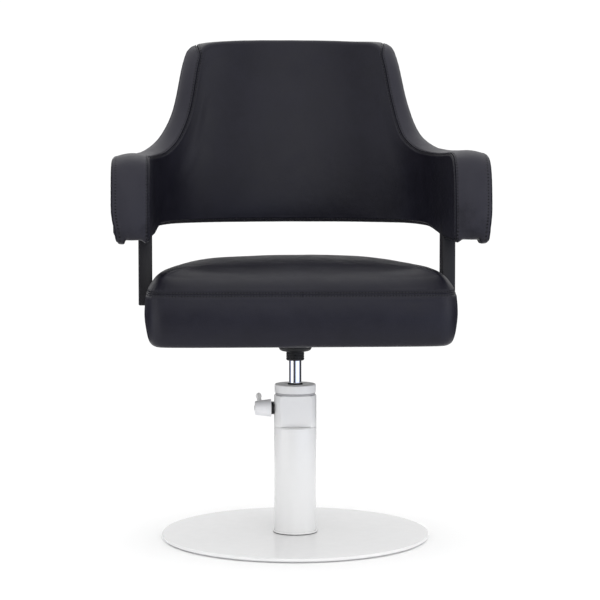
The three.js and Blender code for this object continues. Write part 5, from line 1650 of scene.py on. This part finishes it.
def hex_head(name, node, x, y, z0, z1, af, down, body="seat"):
    """Hex head with its chamfer, on a flat washer, with the start of the shank."""
    r = af / math.sqrt(3)
    s = -1 if down else 1
    base, top = (z1, z0) if down else (z0, z1)  # base sits on the washer
    V, F = [], []

    def ring_mesh(prof, seg, rot=0.0):
        start = len(V)
        a = np.linspace(0, 2 * math.pi, seg, endpoint=False) + rot
        for rr, zz in prof:
            for t in a:
                V.append((x + rr * math.cos(t), y + rr * math.sin(t), zz))
        for j in range(len(prof) - 1):
            for k in range(seg):
                q = [start + j * seg + k, start + j * seg + (k + 1) % seg, start + (j + 1) * seg + (k + 1) % seg, start + (j + 1) * seg + k]
                F.append(q if s > 0 else q[::-1])
        end = [start + (len(prof) - 1) * seg + k for k in range(seg)]
        F.append(end if s > 0 else end[::-1])
        beg = [start + k for k in range(seg)]
        F.append(beg[::-1] if s > 0 else beg)

    ring_mesh([(8.2, base), (8.2, base + s * 0.9), (8.0, base + s * 1.1)], 48)
    h = top - base
    ring_mesh([(r * 0.97, base + s * 1.1), (r, base + s * 1.3), (r, base + h * 0.80), (r * 0.97, base + h * 0.9), (r * 0.86, top)], 6, 0.4)
    ring_mesh([(r * 0.62, top - s * 0.02), (r * 0.6, top + s * 0.0)], 32)
    o = make(name, V, F, STEEL, body, flat=False)
    o.data.set_sharp_from_angle(angle=math.radians(25))
    return replace(o, node)


for i, (x, y) in enumerate(BOLTS):
    hex_head("plate_bolt_head_%d" % (i + 1), "plate_bolt_%d" % (i + 1), x, y, 355.4, 360.7, 13, True)
for side, s in (("left", -1), ("right", 1)):
    hex_head("post_bolt_head_" + side, "post_bolt_" + side, s * 204, -59, 393, 398.3, 13, False)

# ----------------------------------------- materials of the carried-over nodes
N = frame["nodes"]
KEEP = {
    "rubber_underlay": CLEAR_RUBBER, "foot_gasket": RUBBER, "valve_block": STEEL, "guide_bush": BRONZE, "pressure_cylinder": STEEL,
    "brake_pad": BRONZE, "plunger_spring": STEEL, "piston_head": STEEL, "piston_seal": RUBBER, "thrust_bearing": STEEL,
    "seat_board": PLY, "shell_frame": PLY,
}
for n, o in N.items():
    if o.hide_render:
        continue
    mat = KEEP.get(n, STEEL)
    o.data.materials.clear()
    o.data.materials.append(mat)

# --------------------------------------------------------------- the studio
def floor():
    m = Nodes("studio_floor")
    n = m.noise(3, 3, 0.5)
    m.set(Base_Color=m.ramp(n, [(0.3, (0.982, 0.982, 0.982)), (0.7, (0.992, 0.992, 0.992))]))
    m.set(Roughness=0.75, Specular_IOR_Level=0.2)
    far = m.node("ShaderNodeVectorMath", operation="LENGTH")
    m.link(m.co, far.inputs[0])
    fade = m.range(far.outputs["Value"], 0.55, 1.6, 0, 1, True)
    clear = m.node("ShaderNodeBsdfTransparent")
    mix = m.node("ShaderNodeMixShader")
    m.link(fade, mix.inputs[0])
    m.link(m.bsdf.outputs[0], mix.inputs[1])
    m.link(clear.outputs[0], mix.inputs[2])
    m.link(mix.outputs[0], m.out.inputs[0])
    a = np.linspace(0, 2 * math.pi, 96, endpoint=False)
    rs = [0.0, 0.5, 1.0, 1.7]
    v, f = [(0, 0, 0)], []
    for r in rs[1:]:
        v += [(r * math.cos(t), r * math.sin(t), 0) for t in a]
    f += [[0, 1 + k, 1 + (k + 1) % 96] for k in range(96)]
    for j in range(len(rs) - 2):
        b0, b1 = 1 + j * 96, 1 + (j + 1) * 96
        f += [[b0 + k, b1 + k, b1 + (k + 1) % 96, b0 + (k + 1) % 96] for k in range(96)]
    me = bpy.data.meshes.new("studio_floor")
    me.from_pydata(v, [], f)
    me.update()
    me.materials.append(m.mat)
    o = bpy.data.objects.new("studio_floor", me)
    o.location.z = -0.0008
    COLL.objects.link(o)


floor()


def area(name, at, to, size, power, color=(1, 1, 1), size_y=None):
    d = bpy.data.lights.new(name, "AREA")
    d.shape = "RECTANGLE"
    d.size, d.size_y = size, size_y or size
    d.energy = power
    d.color = color
    o = bpy.data.objects.new(name, d)
    o.location = at
    o.rotation_euler = (Vector(to) - Vector(at)).to_track_quat("-Z", "Y").to_euler()
    COLL.objects.link(o)
    return o


area("fill_left", (-3.4, -2.2, 1.2), (0, 0, 0.4), 1.6, 10, (1, 1, 1), 2.4)
area("fill_right", (3.4, -2.2, 1.2), (0, 0, 0.4), 1.6, 21, (1, 1, 1), 2.4)

# soft boxes left and right of the front, a darker room behind
world = bpy.data.worlds.new("studio")
SCENE.world = world
world.use_nodes = True
wt = world.node_tree
wt.nodes.clear()


def wnode(kind, **props):
    n = wt.nodes.new(kind)
    for k, v in props.items():
        setattr(n, k, v)
    return n


def wmath(op, a, b=None, clamp=False):
    n = wnode("ShaderNodeMath", operation=op, use_clamp=clamp)
    for i, v in enumerate((a, b)):
        if v is None:
            continue
        if isinstance(v, (int, float)):
            n.inputs[i].default_value = v
        else:
            wt.links.new(v, n.inputs[i])
    return n.outputs[0]


def wrange(v, a, b, c=0.0, d=1.0):
    n = wnode("ShaderNodeMapRange", interpolation_type="SMOOTHSTEP")
    wt.links.new(v, n.inputs["Value"])
    for k, q in (("From Min", a), ("From Max", b), ("To Min", c), ("To Max", d)):
        n.inputs[k].default_value = q
    return n.outputs["Result"]


def wramp(v, stops):
    n = wnode("ShaderNodeValToRGB")
    e = n.color_ramp.elements
    stops = sorted(stops)
    e[0].position, e[1].position = stops[0][0], stops[-1][0]
    e[0].color, e[1].color = (*stops[0][1], 1), (*stops[-1][1], 1)
    for at, col in stops[1:-1]:
        e.new(at).color = (*col, 1)
    wt.links.new(v, n.inputs[0])
    return n.outputs[0]


def wmix(k, a, b):
    n = wnode("ShaderNodeMix", data_type="RGBA")
    wt.links.new(k, n.inputs["Factor"])
    for name, v in (("A", a), ("B", b)):
        sock = [x for x in n.inputs if x.name == name and x.type == "RGBA"][0]
        if isinstance(v, tuple):
            sock.default_value = (*v, 1)
        else:
            wt.links.new(v, sock)
    return [x for x in n.outputs if x.type == "RGBA"][0]


tc = wnode("ShaderNodeTexCoord")
sep = wnode("ShaderNodeSeparateXYZ")
wt.links.new(tc.outputs["Generated"], sep.inputs[0])
dx, dy, dz = sep.outputs
turn = wmath("ADD", wmath("DIVIDE", wmath("ARCTAN2", dx, wmath("MULTIPLY", dy, -1.0)), 2 * math.pi), 0.5)
# what polished metal sees, near and under the horizon
around = wramp(turn, [
    (0.0, (0.01, 0.01, 0.012)), (0.225, (0.012, 0.012, 0.02)), (0.248, (0.30, 0.34, 0.46)), (0.275, (0.52, 0.52, 0.53)), (0.372, (0.52, 0.52, 0.52)),
    (0.398, (0.02, 0.02, 0.022)), (0.500, (0.02, 0.02, 0.022)), (0.524, (0.28, 0.31, 0.40)), (0.66, (0.34, 0.36, 0.44)), (0.715, (0.30, 0.32, 0.38)),
    (0.742, (0.012, 0.012, 0.016)), (1.0, (0.01, 0.01, 0.012)),
])
# the soft light over the horizon: strong from the front, weaker at the sides
front = wramp(turn, [
    (0.0, (0.04, 0.04, 0.04)), (0.20, (0.05, 0.05, 0.05)), (0.27, (0.27, 0.27, 0.27)), (0.36, (0.12, 0.12, 0.12)), (0.42, (0.24, 0.24, 0.24)),
    (0.46, (0.48, 0.48, 0.48)), (0.5, (0.52, 0.52, 0.52)), (0.54, (0.48, 0.48, 0.48)), (0.58, (0.24, 0.24, 0.24)), (0.64, (0.12, 0.12, 0.12)),
    (0.73, (0.31, 0.31, 0.31)), (0.80, (0.05, 0.05, 0.05)), (1.0, (0.04, 0.04, 0.04)),
])
back_high = wramp(turn, [(0.0, (0.26, 0.26, 0.26)), (0.25, (0.22, 0.22, 0.22)), (0.5, (0.22, 0.22, 0.22)), (0.75, (0.22, 0.22, 0.22)), (1.0, (0.26, 0.26, 0.26))])
low = wmix(wrange(dz, -0.02, 0.02), around, front)
low = wmix(wrange(dz, 0.085, 0.13), low, wmix(wramp(turn, [(0.20, (0, 0, 0)), (0.27, (1, 1, 1)), (0.73, (1, 1, 1)), (0.80, (0, 0, 0))]), back_high, front))
level = wmath("MULTIPLY", wrange(dz, -0.5, -0.25), wrange(dz, 0.38, 0.78, 1.0, 0.0))
other = wramp(wrange(dz, -0.1, 0.1), [(0.0, (0.30, 0.30, 0.30)), (1.0, (0.400, 0.400, 0.400))])
lit = wnode("ShaderNodeBackground")
wt.links.new(wmix(level, other, low), lit.inputs[0])
lit.inputs[1].default_value = 3.6
seen = wnode("ShaderNodeBackground")
seen.inputs[0].default_value = (1, 1, 1, 1)
seen.inputs[1].default_value = 1.05
lp = wnode("ShaderNodeLightPath")
mixw = wnode("ShaderNodeMixShader")
wo = wnode("ShaderNodeOutputWorld")
wt.links.new(lp.outputs["Is Camera Ray"], mixw.inputs[0])
wt.links.new(lit.outputs[0], mixw.inputs[1])
wt.links.new(seen.outputs[0], mixw.inputs[2])
wt.links.new(mixw.outputs[0], wo.inputs[0])
